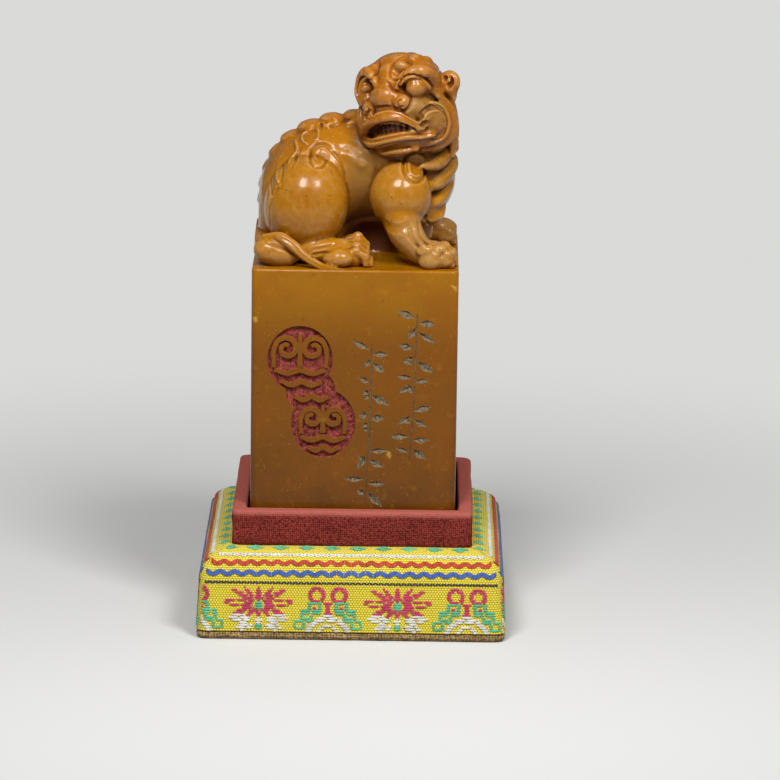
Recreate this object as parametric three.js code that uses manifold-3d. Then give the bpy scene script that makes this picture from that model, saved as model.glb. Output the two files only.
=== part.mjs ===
// A stone seal with a crouching beast carved on top, standing in its cloth-covered tray
// on a padded plinth wrapped in woven brocade ribbon.
//
// Millimetres, +Z up. The origin is on the table, under the middle of the plinth.
// The beast's flank faces -Y, which is the side that the set is shown from.
import * as THREE from "three";
import { mergeVertices } from "three/addons/utils/BufferGeometryUtils.js";
import Module from "manifold-3d";

const wasm = await Module();
wasm.setup();

// Driving dimensions

// Seal stone: a square block with the beast carved from the same piece.
const blockWidth = 45;
const blockHeight = 58.6;
const blockCornerRadius = 1.3;
const blockEdgeSoftening = 0.6;
const beastHeight = 46; // above the block, to the crown of the head
const printBorder = 2.6; // raised frame round the printing face
const printBar = 2.4; // width of a raised bar in the printing face
const printGap = 2.9; // sunk ground between two bars
const printDepth = 1.1;

// Sunk cartouche on the front of the block: two lobes, measured from the block's foot.
const cartoucheDepth = 0.8;
const cartoucheLobes = [
  { x: -11.8, z: 38.7, wide: 7.1, high: 7.4 },
  { x: -9.4, z: 31.6, wide: 5.4, high: 5.2 },
  { x: -6.6, z: 24.5, wide: 7.0, high: 7.7 },
];

// Tray: board strips wrapped in red cloth, with a lined floor.
const trayBoard = 2.2;
const trayCloth = 0.5;
const trayWallHeight = 7.7;
const trayFloorBoard = 1.5;
const trayLining = 0.5;
const trayCornerRadius = 1.3;
const stoneClearance = 0.55; // between the stone and the cloth on each side
const seatGap = 0.1; // between the stone's foot and the lining

// Plinth: a board box, a wadding pad and four lengths of brocade ribbon.
const plinthWidth = 66.4; // over the ribbon, where the shoulder starts
const plinthFlare = 0.6; // how far the ribbon stands out at its lower edge
const plinthHeight = 17.55; // above the bottom panel
const plinthCornerRadius = 2.4;
const shoulderRise = 6.8; // height of the rounded shoulder
const shoulderReach = 6.3; // how far the shoulder runs in
const ribbonThickness = 0.7;
const ribbonTuck = 3.2; // how far the ribbon runs in under the tray
const ribbonSeam = 0.3; // between two lengths at a corner
const boxWidth = 56;
const boxBoard = 2.0;
const boxHeight = 11.0;

// Bottom panel: a board wrapped in tan linen.
const bottomWidth = 67.4;
const bottomBoard = 1.1;
const bottomCloth = 0.35;
const bottomHem = 8;
const bottomCornerRadius = 2.2;

const glueLine = 0.05; // between any two glued faces
const carvingTolerance = 0.03; // facet edges shorter than this are taken out

// Levels and widths that follow from the values above

const panelTop = 2 * bottomCloth + bottomBoard + 2 * glueLine;
const bottomHalf = bottomWidth / 2;
const ribbonFoot = panelTop + glueLine;
const plinthHalf = plinthWidth / 2;
const plinthTop = ribbonFoot + plinthHeight;
const shoulderStart = plinthTop - shoulderRise;
const boxOuter = boxWidth / 2;
const boxTop = ribbonFoot + boxHeight + glueLine + boxBoard;
const trayBase = plinthTop + glueLine;
const trayRim = trayBase + trayWallHeight;
const trayFloorTop = trayBase + trayFloorBoard + glueLine + trayLining;
const blockHalf = blockWidth / 2;
const trayInner = blockHalf + stoneClearance;
const boardInner = trayInner + trayCloth + glueLine;
const boardOuter = boardInner + trayBoard;
const trayOuter = boardOuter + glueLine + trayCloth;
const stoneFoot = trayFloorTop + seatGap;

// Shapes

const solidOf = (geometry) => {
  const bare = geometry.index ? geometry.toNonIndexed() : geometry.clone();
  bare.deleteAttribute("normal");
  bare.deleteAttribute("uv");
  const merged = mergeVertices(bare, 1e-4);
  return new wasm.Manifold(
    new wasm.Mesh({
      numProp: 3,
      vertProperties: merged.attributes.position.array,
      triVerts: new Uint32Array(merged.index.array),
      tolerance: carvingTolerance,
    }),
  );
};

const geometryOf = (solid) => {
  const mesh = solid.getMesh();
  const points = new Float32Array(mesh.numVert * 3);
  for (let i = 0; i < mesh.numVert; i++)
    points.set(mesh.vertProperties.subarray(i * mesh.numProp, i * mesh.numProp + 3), i * 3);
  const geometry = new THREE.BufferGeometry();
  geometry.setAttribute("position", new THREE.BufferAttribute(points, 3));
  geometry.setIndex(new THREE.BufferAttribute(mesh.triVerts, 1));
  geometry.computeVertexNormals();
  return geometry;
};

const join = (solids) => solids.reduce((whole, piece) => whole.add(piece));

// A closed skin over rings that all have the same number of points.
const skin = (rings) => {
  const sides = rings[0].length;
  const positions = [];
  const triangle = (a, b, c) => positions.push(...a, ...b, ...c);
  const middle = (ring) => [0, 1, 2].map((k) => ring.reduce((sum, p) => sum + p[k], 0) / sides);
  const first = middle(rings[0]);
  const last = middle(rings.at(-1));
  for (let i = 0; i < sides; i++) {
    const j = (i + 1) % sides;
    triangle(first, rings[0][j], rings[0][i]);
    triangle(last, rings.at(-1)[i], rings.at(-1)[j]);
    for (let r = 0; r + 1 < rings.length; r++) {
      triangle(rings[r][i], rings[r][j], rings[r + 1][j]);
      triangle(rings[r][i], rings[r + 1][j], rings[r + 1][i]);
    }
  }
  const geometry = new THREE.BufferGeometry();
  geometry.setAttribute("position", new THREE.Float32BufferAttribute(positions, 3));
  return geometry;
};

// A square with rounded corners, as a ring of points at height z.
const squareRing = (half, radius, z, perCorner = 4) => {
  const ring = [];
  for (let corner = 0; corner < 4; corner++) {
    const middleX = (half - radius) * (corner === 0 || corner === 3 ? 1 : -1);
    const middleY = (half - radius) * (corner < 2 ? 1 : -1);
    for (let i = 0; i <= perCorner; i++) {
      const angle = (corner + i / perCorner) * (Math.PI / 2);
      ring.push([middleX + radius * Math.cos(angle), middleY + radius * Math.sin(angle), z]);
    }
  }
  return ring;
};

// A stack of rounded squares, from the bottom up: each level is { half, radius, z }.
const stack = (levels, perCorner) =>
  solidOf(skin(levels.map((level) => squareRing(level.half, level.radius, level.z, perCorner))));

const box = (fromX, toX, fromY, toY, fromZ, toZ) => {
  const geometry = new THREE.BoxGeometry(toX - fromX, toY - fromY, toZ - fromZ);
  geometry.translate((fromX + toX) / 2, (fromY + toY) / 2, (fromZ + toZ) / 2);
  return geometry;
};

// Carving masses: each is a solid in the frame of the thing it is carved on

const fineness = 0.55; // raises or lowers the facet count of every carved mass
const facets = (count) => Math.max(6, Math.round(count * fineness));

const turnOf = (turn = [0, 0, 0]) =>
  new THREE.Matrix4().makeRotationFromEuler(
    new THREE.Euler(...turn.map((degrees) => THREE.MathUtils.degToRad(degrees)), "ZYX"),
  );

// An egg-shaped mass. Turn is in degrees about X, then Y, then Z.
const egg = (at, radii, turn, around = 14) => {
  const geometry = new THREE.SphereGeometry(1, facets(around), facets(around * 0.6));
  geometry.rotateX(Math.PI / 2);
  geometry.scale(...radii);
  geometry.applyMatrix4(turnOf(turn));
  geometry.translate(...at);
  return solidOf(geometry);
};

// A limb, ridge or strand: a round section of changing radius along a smooth line, with round ends.
const limb = (points, radii, coarseSteps = 8, coarseSides = 9) => {
  const steps = Math.max(3, Math.round(coarseSteps * fineness));
  const sides = Math.max(5, Math.round(coarseSides * fineness));
  const line = new THREE.CatmullRomCurve3(points.map((p) => new THREE.Vector3(...p)));
  const radiusAt = (t) => {
    const place = t * (radii.length - 1);
    const low = Math.min(Math.floor(place), radii.length - 2);
    return THREE.MathUtils.lerp(radii[low], radii[low + 1], place - low);
  };
  const frames = line.computeFrenetFrames(steps, false);
  const rings = [];
  const ringAt = (step, radius, along) => {
    const centre = line.getPoint(step / steps).addScaledVector(frames.tangents[step], along);
    rings.push(
      Array.from({ length: sides }, (_, i) => {
        const angle = (i / sides) * 2 * Math.PI;
        return centre
          .clone()
          .addScaledVector(frames.normals[step], radius * Math.cos(angle))
          .addScaledVector(frames.binormals[step], radius * Math.sin(angle))
          .toArray();
      }),
    );
  };
  const start = radiusAt(0);
  const end = radiusAt(1);
  ringAt(0, start * 0.55, -start * 0.8);
  for (let step = 0; step <= steps; step++) ringAt(step, radiusAt(step / steps), 0);
  ringAt(steps, end * 0.55, end * 0.8);
  return solidOf(skin(rings));
};

// A scroll: a thin ridge that winds in over the top of a muscle. Points lie on the egg under it.
const scroll = (centre, radii, { turns, reach, ridge, tilt, face }) => {
  const points = [];
  const count = 9;
  for (let i = 0; i <= count; i++) {
    const share = i / count;
    const angle = tilt + share * turns * 2 * Math.PI;
    const away = reach * (1 - 0.72 * share);
    const along = (away * Math.cos(angle)) / radii[0];
    const up = (away * Math.sin(angle)) / radii[2] + face.up;
    const across = along + face.along;
    const out = Math.sqrt(Math.max(0.05, 1 - across * across - up * up));
    points.push([
      centre[0] + radii[0] * across,
      centre[1] + face.side * radii[1] * out,
      centre[2] + radii[2] * up,
    ]);
  }
  return limb(points, [ridge, ridge, ridge * 0.6], 16, 6);
};

// Beast: drawn in millimetres from the middle of the top of a block of this size, then
// scaled to the block that carries it

const drawnWidth = 45;
const drawnHeight = 46;

// The trunk, from rump to breast: place along the body, middle height, half height, half width.
const trunkStations = [
  [-21.6, 9.5, 6.5, 7.5],
  [-20.4, 10.8, 10.2, 10.6],
  [-17.2, 12.2, 13.4, 12.8],
  [-12.0, 13.8, 14.9, 13.4],
  [-6.0, 16.4, 13.6, 12.6],
  [0.0, 18.6, 12.2, 11.8],
  [6.0, 19.4, 12.2, 11.4],
  [12.0, 18.6, 12.8, 11.2],
  [16.6, 17.8, 10.6, 9.6],
  [19.4, 17.4, 6.4, 6.6],
];

const trunk = () => {
  const line = new THREE.CatmullRomCurve3(
    trunkStations.map(([x, z]) => new THREE.Vector3(x, 0, z)),
  );
  const girth = new THREE.CatmullRomCurve3(
    trunkStations.map(([, , high, wide]) => new THREE.Vector3(high, wide, 0)),
  );
  const steps = facets(20);
  const sides = facets(24);
  const rings = [];
  for (let step = 0; step <= steps; step++) {
    const middle = line.getPoint(step / steps);
    const { x: high, y: wide } = girth.getPoint(step / steps);
    rings.push(
      Array.from({ length: sides }, (_, i) => {
        const angle = (i / sides) * 2 * Math.PI;
        return [middle.x, wide * Math.cos(angle), middle.z + high * Math.sin(angle)];
      }),
    );
  }
  return solidOf(skin(rings));
};

const haunch = { at: [-10.8, 11.2, 12.0], radii: [9.3, 8.4, 10.9] };
const shoulder = { at: [9.6, 12.2, 15.8], radii: [6.7, 6.6, 7.4] };

const paw = (at, radii, toes, toeRadii) => [
  egg(at, radii, undefined, 12),
  ...toes.map((place) => egg(place, toeRadii, undefined, 8)),
];

// side is -1 for the near legs and +1 for the far ones.
const hindLeg = (side) => [
  egg([haunch.at[0], side * haunch.at[1], haunch.at[2]], haunch.radii, [0, 8, 0], 22),
  limb(
    [[-13.5, side * 13.5, 3.6], [-8, side * 16.2, 3.0], [-3, side * 16.8, 3.0]],
    [3.4, 3.0, 3.0],
    5,
    9,
  ),
  egg([-4.2, side * 18.6, 2.4], [4.2, 2.5, 2.6], undefined, 12),
  ...[0, 1, 2, 3].map((toe) =>
    egg([1.6 - toe * 0.6, side * (19.4 - toe * 2.1), 2.2 + toe * 0.6], [2.7, 1.35, 2.1], undefined, 9),
  ),
  scroll([haunch.at[0], side * haunch.at[1], haunch.at[2]], haunch.radii, {
    turns: 1.25,
    reach: 3.4,
    ridge: 0.55,
    tilt: 0.4,
    face: { along: 0.12, up: 0.78, side },
  }),
];

const foreLeg = (side, reachOut, kneeX, pawX) => [
  egg([shoulder.at[0], side * shoulder.at[1], shoulder.at[2]], shoulder.radii, undefined, 18),
  limb(
    [
      [9.0, side * (reachOut - 3.4), 13.4],
      [kneeX, side * (reachOut - 0.8), 7.6],
      [pawX - 2.6, side * reachOut, 3.4],
    ],
    [4.9, 4.1, 3.3],
    7,
    12,
  ),
  ...paw(
    [pawX, side * reachOut, 2.7],
    [4.6, 4.0, 3.0],
    [-1.5, -0.5, 0.5, 1.5].map((toe) => [
      pawX + 3.6 - Math.abs(toe) * 0.5,
      side * (reachOut + toe * 2.1),
      2.0,
    ]),
    [2.3, 1.3, 2.0],
  ),
  scroll([shoulder.at[0], side * shoulder.at[1], shoulder.at[2]], shoulder.radii, {
    turns: 1.1,
    reach: 2.8,
    ridge: 0.5,
    tilt: 0.2,
    face: { along: 0.3, up: 0.55, side },
  }),
];

// Breast and neck, with the folds of skin that cross the breast.
const breastFolds = [
  { z: 10.2, front: 19.6 },
  { z: 14.2, front: 21.0 },
  { z: 18.2, front: 21.7 },
  { z: 22.2, front: 22.0 },
  { z: 26.2, front: 22.0 },
];

const breast = () => [
  egg([12.4, -1.0, 17.6], [9.2, 9.6, 10.6], [0, -8, 0], 20),
  limb([[8.6, 1, 20], [10.8, -1, 27], [12, -2, 33]], [11.6, 10.9, 9.4], 6, 18),
  egg([3, 0, 5], [14, 5, 9], undefined, 14),
  ...breastFolds.map(({ z, front }) =>
    limb(
      [
        [12.6, -11.2, z - 3.4],
        [18.4, -8.0, z - 1.8],
        [front - 0.6, -1.0, z],
        [18.4, 6.4, z - 0.4],
        [12.6, 9.2, z - 1.4],
      ],
      [0.9, 1.3, 1.5, 1.3, 0.9],
      10,
      7,
    ),
  ),
];

// Scalloped crest down the backbone: overlapping lobes that lean towards the tail.
const backbone = () => {
  const line = new THREE.CatmullRomCurve3(
    [[2, 0, 30.6], [-5, 0, 29.6], [-11, 0, 27.8], [-16, 0, 24.2], [-20, 0, 17.4], [-21.4, 0, 9]].map(
      (p) => new THREE.Vector3(...p),
    ),
  );
  const lobes = 8;
  return Array.from({ length: lobes }, (_, i) => {
    const place = line.getPointAt((i + 0.5) / lobes);
    const heading = line.getTangentAt((i + 0.5) / lobes);
    const lean = THREE.MathUtils.radToDeg(Math.atan2(heading.z, -heading.x));
    return egg([place.x, 0, place.z], [3.0, 2.3, 1.9], [0, lean - 14, 0], 10);
  });
};

// Tail: it comes round the near corner of the block and ends in a leaf-shaped tuft.
const tail = () => [
  limb(
    [[-19, 9, 5], [-21, 2, 4.2], [-21, -8, 3.8], [-19.8, -15.5, 3.4]],
    [2.6, 2.2, 2.0, 2.0],
    9,
    8,
  ),
  egg([-17.2, -18.0, 2.9], [5.2, 2.9, 3.2], [0, 12, 8], 14),
  limb([[-20, -17.5, 6.2], [-15, -19.6, 5.0], [-10.5, -20.8, 1.8], [-6, -21.6, 0.1]], [0.7, 1.1, 1.0, 0.6], 9, 7),
];

// Head, in its own frame: X runs out through the nose, Y to the head's left, Z through the crown.
// The beast looks back over its near shoulder, with its head tilted.
const headPlace = [10.5, -5, 35];
const headTurn = -120; // degrees about Z: 0 would look along the body
const headTilt = 8; // degrees about the nose

const both = (make) => [1, -1].flatMap((side) => make(side));

const headMasses = () => [
  egg([-1.0, 0, 0.6], [8.6, 9.2, 9.3], undefined, 20),
  egg([2.6, 0, 6.2], [5.2, 7.6, 4.2], undefined, 16),
  egg([4.6, 0, -1.8], [5.6, 7.6, 4.6], undefined, 16),
  egg([3.0, 0, -7.2], [5.6, 7.0, 3.8], undefined, 16),
  ...both((side) => [egg([3.4, side * 5.6, 4.4], [4.3, 3.9, 4.0], undefined, 12)]),
];

const headFeatures = () => [
  egg([8.2, 0, 2.2], [3.7, 4.2, 3.6], undefined, 14), // bulb of the nose
  egg([-4.6, 0, 7.9], [2.6, 2.2, 1.5], [0, -32, 0], 10), // crest
  egg([-7.6, 0, 5.2], [2.4, 2.4, 1.6], [0, -58, 0], 10),
  limb([[7.4, -5.6, -8.0], [9.6, 0, -7.6], [7.4, 5.6, -8.0]], [1.0, 1.1, 1.0], 8, 7), // lower lip
  limb([[5.4, -6.6, -9.6], [8.4, 0, -10.0], [5.4, 6.6, -9.6]], [0.9, 1.2, 0.9], 8, 7), // chin fold
  ...both((side) => [
    egg([4.2, side * 2.4, 8.4], [1.8, 1.7, 1.7], undefined, 9), // forehead boss
    egg([6.2, side * 6.3, 3.8], [2.2, 2.3, 2.2], undefined, 12), // eye
    limb(
      [
        [9.0, side * 3.4, 4.0],
        [8.3, side * 4.6, 6.4],
        [6.6, side * 7.4, 7.2],
        [4.2, side * 9.3, 4.8],
      ],
      [0.8, 1.1, 1.2, 0.8],
      9,
      7,
    ), // brow
    egg([9.2, side * 4.3, 0.5], [1.9, 1.6, 1.7], undefined, 10), // nostril
    limb(
      [
        [10.4, 0, -2.3],
        [9.9, side * 3.2, -2.9],
        [7.8, side * 6.4, -5.0],
        [5.2, side * 8.6, -3.6],
      ],
      [1.3, 1.3, 1.1, 0.9],
      9,
      7,
    ), // upper lip
    limb(
      [
        [5.2, side * 8.4, -2.4],
        [2.6, side * 9.4, -2.0],
        [1.2, side * 9.6, -4.6],
        [2.6, side * 9.2, -6.8],
        [5.6, side * 7.6, -7.6],
      ],
      [0.8, 1.0, 1.0, 1.0, 0.9],
      11,
      7,
    ), // cheek fold
    egg([3.2, side * 9.0, -4.3], [1.5, 1.2, 1.5], undefined, 9), // corner of the mouth
    egg([-0.6, side * 11.0, 2.4], [1.7, 3.2, 3.4], [12 * side, 0, 0], 12), // ear
    ...[0, 1, 2].map((lock) =>
      limb(
        [
          [-2.6 - lock * 2.2, side * (8.4 - lock * 1.9), 2.4],
          [-3.2 - lock * 2.4, side * (9.4 - lock * 2.1), -4.0],
          [-3.8 - lock * 2.4, side * (8.8 - lock * 2.2), -11.0],
        ],
        [1.3, 1.7, 0.9],
        7,
        7,
      ),
    ), // mane
  ]),
];

const headHollows = () => [
  egg([8.6, 0, -5.2], [4.2, 5.4, 1.7], undefined, 16), // mouth
  ...both((side) => [
    egg([8.2, side * 6.5, 4.3], [2.3, 2.9, 2.5], undefined, 12), // eye socket
    egg([1.0, side * 11.6, 2.7], [1.6, 1.7, 2.1], undefined, 10), // ear
  ]),
];

const teeth = () =>
  [-3.75, -2.25, -0.75, 0.75, 2.25, 3.75].map((across) =>
    egg([8.0 - Math.abs(across) * 0.22, across, -5.2], [0.7, 0.52, 1.9], undefined, 7),
  );

const head = () => {
  const carved = join(headMasses());
  const [mouth, socketLeft, earLeft, socketRight, earRight] = headHollows();
  const placed = new THREE.Matrix4().makeTranslation(...headPlace);
  placed.multiply(turnOf([headTilt, 0, headTurn]));
  const whole = carved
    .subtract(socketLeft)
    .subtract(socketRight)
    .add(join(headFeatures()))
    .subtract(mouth)
    .subtract(earLeft)
    .subtract(earRight)
    .add(join(teeth()));
  return solidOf(geometryOf(whole).applyMatrix4(placed));
};

const beast = () => {
  const belly = [-1, 1].map((side) => egg([2.4, side * 12.5, 3.6], [5.4, 7.2, 6.0], undefined, 14));
  const body = join([trunk(), ...breast()]);
  return join([
    belly.reduce((whole, hollow) => whole.subtract(hollow), body),
    ...hindLeg(-1),
    ...hindLeg(1),
    ...foreLeg(-1, 16.8, 10.8, 17.0),
    ...foreLeg(1, 10.6, 12.4, 18.2),
    ...backbone(),
    ...tail(),
    head(),
  ]);
};

// Printing face: a raised frame with a square meander inside it, cut as plain ornament.
const printHollows = () => {
  const inside = blockHalf - printBorder;
  const bars = Math.round((2 * inside - printGap) / (printBar + printGap));
  const gap = (2 * inside - bars * printBar) / (bars + 1);
  let sunk = solidOf(box(-inside, inside, -inside, inside, -1, printDepth));
  for (let i = 0; i < bars; i++) {
    const x = -inside + gap + i * (printBar + gap);
    const [low, high] = i % 2 === 0 ? [-inside - 1, inside - gap] : [-inside + gap, inside + 1];
    sunk = sunk.subtract(solidOf(box(x, x + printBar, low, high, -2, printDepth + 1)));
  }
  return sunk;
};

// Cartouche: the outline of a gourd, sunk into the front of the block.
const cartouche = () =>
  join(
    cartoucheLobes.map(({ x, z, wide, high }) => {
      const lobe = new THREE.CylinderGeometry(1, 1, 2 * cartoucheDepth, 28);
      lobe.scale(wide, 1, high);
      lobe.translate(x, -blockHalf, z);
      return solidOf(lobe);
    }),
  );

const sealStone = () => {
  const block = stack([
    { half: blockHalf - blockEdgeSoftening, radius: blockCornerRadius, z: 0 },
    { half: blockHalf, radius: blockCornerRadius, z: blockEdgeSoftening },
    { half: blockHalf, radius: blockCornerRadius, z: blockHeight - blockEdgeSoftening },
    { half: blockHalf - blockEdgeSoftening, radius: blockCornerRadius, z: blockHeight },
  ]);
  // The beast is carved inside the square of the block, so it is trimmed to it.
  const trim = drawnWidth / 2 - blockEdgeSoftening / 2;
  const prism = stack([
    { half: trim, radius: blockCornerRadius, z: -blockEdgeSoftening },
    { half: trim, radius: blockCornerRadius, z: 2 * drawnHeight },
  ]);
  const knob = geometryOf(beast().intersect(prism));
  knob.scale(blockWidth / drawnWidth, blockWidth / drawnWidth, beastHeight / drawnHeight);
  knob.translate(0, 0, blockHeight);
  return block.add(solidOf(knob)).subtract(cartouche()).subtract(printHollows());
};

// Tray pieces

const trayWallCloth = () => {
  const boardTop = trayRim - trayCloth;
  const outside = stack([
    { half: trayOuter, radius: trayCornerRadius, z: trayBase },
    { half: trayOuter, radius: trayCornerRadius, z: trayRim - trayCloth },
    { half: trayOuter - trayCloth / 2, radius: trayCornerRadius, z: trayRim },
  ]);
  const block = (half, foot, top) => solidOf(box(-half, half, -half, half, foot, top));
  const boards = block(boardOuter + glueLine, trayBase - 1, boardTop);
  const lining = block(boardInner - glueLine, trayBase - 1, trayRim);
  const hollow = block(trayInner, trayBase - 2, trayRim + 1);
  const floor = block(boardInner, trayBase - 2, trayFloorTop + glueLine);
  return outside.subtract(boards.subtract(lining)).subtract(hollow).subtract(floor);
};

// The front and back strips run the full width and the side strips fit between them.
const stripsAround = (inner, outer, foot, top) => {
  const between = inner - glueLine;
  return {
    front: box(-outer, outer, -outer, -inner, foot, top),
    back: box(-outer, outer, inner, outer, foot, top),
    left: box(-outer, -inner, -between, between, foot, top),
    right: box(inner, outer, -between, between, foot, top),
  };
};

const sheetWithin = (half, foot, top) => box(-half, half, -half, half, foot, top);

// Plinth pieces

// The plinth's outer form drawn in by a depth below its surface.
const plinthForm = (inset, foot) => {
  const levels = [
    { half: plinthHalf + plinthFlare - inset, radius: plinthCornerRadius, z: foot },
    { half: plinthHalf - inset, radius: plinthCornerRadius, z: shoulderStart },
  ];
  const steps = 7;
  for (let i = 1; i <= steps; i++) {
    const angle = (i / steps) * (Math.PI / 2);
    levels.push({
      half: plinthHalf - inset - shoulderReach * (1 - Math.cos(angle)),
      radius: plinthCornerRadius,
      z: shoulderStart + (plinthTop - inset - shoulderStart) * Math.sin(angle),
    });
  }
  return stack(levels, 3);
};

// The ribbon is cut into four lengths that meet on the corners with a mitre.
const brocadeBand = (quarterTurns) => {
  const opening = trayOuter - ribbonTuck;
  const apex = -(ribbonSeam / 2) * Math.SQRT2;
  const wedge = new THREE.Shape();
  wedge.moveTo(0, apex);
  wedge.lineTo(-plinthWidth, apex - plinthWidth);
  wedge.lineTo(plinthWidth, apex - plinthWidth);
  const quarter = new THREE.ExtrudeGeometry(wedge, { depth: 2 * plinthTop, bevelEnabled: false });
  quarter.rotateZ(quarterTurns * (Math.PI / 2));
  return plinthForm(0, ribbonFoot)
    .subtract(plinthForm(ribbonThickness, ribbonFoot - 1))
    .subtract(solidOf(sheetWithin(opening, 0, 2 * plinthTop)))
    .intersect(solidOf(quarter));
};

const wadding = () => {
  const boards = sheetWithin(boxOuter + glueLine, 0, boxTop + glueLine);
  return plinthForm(ribbonThickness + glueLine, ribbonFoot).subtract(solidOf(boards));
};

const bottomWrap = () => {
  const inner = bottomHalf - bottomCloth;
  const outside = stack([
    { half: bottomHalf - bottomCloth, radius: bottomCornerRadius, z: 0 },
    { half: bottomHalf, radius: bottomCornerRadius, z: bottomCloth },
    { half: bottomHalf, radius: bottomCornerRadius, z: panelTop - bottomCloth },
    { half: bottomHalf - bottomCloth, radius: bottomCornerRadius, z: panelTop },
  ]);
  const pocket = stack([
    { half: inner, radius: bottomCornerRadius, z: bottomCloth },
    { half: inner, radius: bottomCornerRadius, z: panelTop - bottomCloth },
  ]);
  const opening = sheetWithin(bottomHalf - bottomHem, panelTop / 2, 2 * panelTop);
  return outside.subtract(pocket).subtract(solidOf(opening));
};

const bottomPanel = () => {
  const half = bottomHalf - bottomCloth - glueLine;
  const foot = bottomCloth + glueLine;
  return stack([
    { half, radius: bottomCornerRadius, z: foot },
    { half, radius: bottomCornerRadius, z: foot + bottomBoard },
  ]);
};

// Finishes

const amberStone = new THREE.MeshStandardMaterial({ color: "#b06a12", roughness: 0.28, metalness: 0 });
const redCloth = new THREE.MeshStandardMaterial({ color: "#7a2621", roughness: 0.95, metalness: 0 });
const yellowBrocade = new THREE.MeshStandardMaterial({ color: "#d9b51c", roughness: 0.7, metalness: 0 });
const tanLinen = new THREE.MeshStandardMaterial({ color: "#a5855a", roughness: 0.95, metalness: 0 });
const greyBoard = new THREE.MeshStandardMaterial({ color: "#9a8f80", roughness: 0.9, metalness: 0 });
const whiteWadding = new THREE.MeshStandardMaterial({ color: "#e8e2d4", roughness: 1, metalness: 0 });

// The set, from the table up

const part = new THREE.Group();

const piece = (name, shape, material) => {
  const geometry = shape.isBufferGeometry ? shape : geometryOf(shape);
  const mesh = new THREE.Mesh(geometry, material);
  mesh.name = name;
  part.add(mesh);
  return mesh;
};

piece("bottom_cloth", bottomWrap(), tanLinen);
piece("bottom_board", bottomPanel(), greyBoard);

const boxStrips = stripsAround(boxOuter - boxBoard, boxOuter, ribbonFoot, ribbonFoot + boxHeight);
for (const [side, strip] of Object.entries(boxStrips)) piece(`plinth_board_${side}`, strip, greyBoard);
piece("plinth_top_board", sheetWithin(boxOuter, boxTop - boxBoard, boxTop), greyBoard);
piece("wadding", wadding(), whiteWadding);
["front", "right", "back", "left"].forEach((side, turns) =>
  piece(`brocade_band_${side}`, brocadeBand(turns), yellowBrocade),
);

const lined = boardInner - glueLine;
const liningFoot = trayBase + trayFloorBoard + glueLine;
piece("tray_floor_board", sheetWithin(lined, trayBase, trayBase + trayFloorBoard), greyBoard);
piece("tray_floor_pad", sheetWithin(lined, liningFoot, trayFloorTop), redCloth);
const trayStrips = stripsAround(boardInner, boardOuter, trayBase, trayRim - trayCloth - glueLine);
for (const [side, strip] of Object.entries(trayStrips)) piece(`tray_board_${side}`, strip, greyBoard);
piece("tray_wall_cloth", trayWallCloth(), redCloth);

const seal = piece("seal_stone", sealStone(), amberStone);
seal.position.z = stoneFoot;

export default part;
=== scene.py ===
import math
import random

import bmesh
import bpy
import numpy as np
from mathutils import Euler, Matrix, Vector, noise
from mathutils.bvhtree import BVHTree


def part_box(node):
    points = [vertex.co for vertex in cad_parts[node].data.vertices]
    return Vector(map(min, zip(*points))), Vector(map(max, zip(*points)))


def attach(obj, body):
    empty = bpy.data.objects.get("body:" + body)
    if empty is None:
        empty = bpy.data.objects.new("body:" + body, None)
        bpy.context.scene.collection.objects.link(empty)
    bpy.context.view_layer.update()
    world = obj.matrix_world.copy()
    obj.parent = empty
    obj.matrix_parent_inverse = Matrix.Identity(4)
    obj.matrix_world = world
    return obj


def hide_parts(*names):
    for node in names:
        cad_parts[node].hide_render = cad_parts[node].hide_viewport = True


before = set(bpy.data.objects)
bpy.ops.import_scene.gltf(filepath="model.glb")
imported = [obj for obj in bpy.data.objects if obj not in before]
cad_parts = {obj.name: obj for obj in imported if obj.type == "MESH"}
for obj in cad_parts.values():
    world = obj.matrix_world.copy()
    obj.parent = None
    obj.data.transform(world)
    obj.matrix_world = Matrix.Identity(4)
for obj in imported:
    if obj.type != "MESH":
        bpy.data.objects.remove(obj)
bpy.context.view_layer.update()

# Boards
# Grey pasteboard makes the bottom panel, the box inside the plinth and the strips of the tray.
# It is cut, glued edge to edge and wholly covered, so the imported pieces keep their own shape.
MM = 0.001
BOARD_PALE = (0.40, 0.35, 0.28)
BOARD_DARK = (0.25, 0.215, 0.165)


def feed(socket, value):
    """Gives a socket a number, a colour or what another socket holds."""
    if isinstance(value, bpy.types.NodeSocket):
        socket.id_data.links.new(value, socket)
    elif isinstance(value, tuple) and len(value) == 3 and socket.type == "RGBA":
        socket.default_value = (*value, 1)
    else:
        socket.default_value = value


def tune(finish, settings):
    """Sets inputs of a finish's shader, each by its name."""
    for name, value in settings.items():
        feed(finish.node_tree.nodes["Principled BSDF"].inputs[name], value)


def new_finish(name, roughness, specular=0.3):
    """A finish that has no colour yet."""
    finish = bpy.data.materials.new(name)
    finish.use_nodes = True
    tune(finish, {"Roughness": roughness, "Specular IOR Level": specular})
    return finish


def new_node(kind, values, **settings):
    """A node with its settings and its inputs, of which at least one comes from another node."""
    tree = next(value.id_data for value in values.values() if isinstance(value, bpy.types.NodeSocket))
    node = tree.nodes.new("ShaderNode" + kind)
    for key, value in settings.items():
        setattr(node, key, value)
    for socket, value in values.items():
        feed(node.inputs[socket], value)
    return node


def coordinates(finish, kind="Object"):
    return finish.node_tree.nodes.new("ShaderNodeTexCoord").outputs[kind]


def axes_of(vector):
    """The three parts of a vector."""
    return new_node("SeparateXYZ", {0: vector}).outputs


def sum_of(operation, first, second=0.0):
    """A sum on two values, each a socket or a number."""
    return new_node("Math", {0: first, 1: second}, operation=operation).outputs[0]


def times(first, second):
    return sum_of("MULTIPLY", first, second)


def plus(first, second):
    return sum_of("ADD", first, second)


def most(first, second):
    return sum_of("MAXIMUM", first, second)


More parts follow.
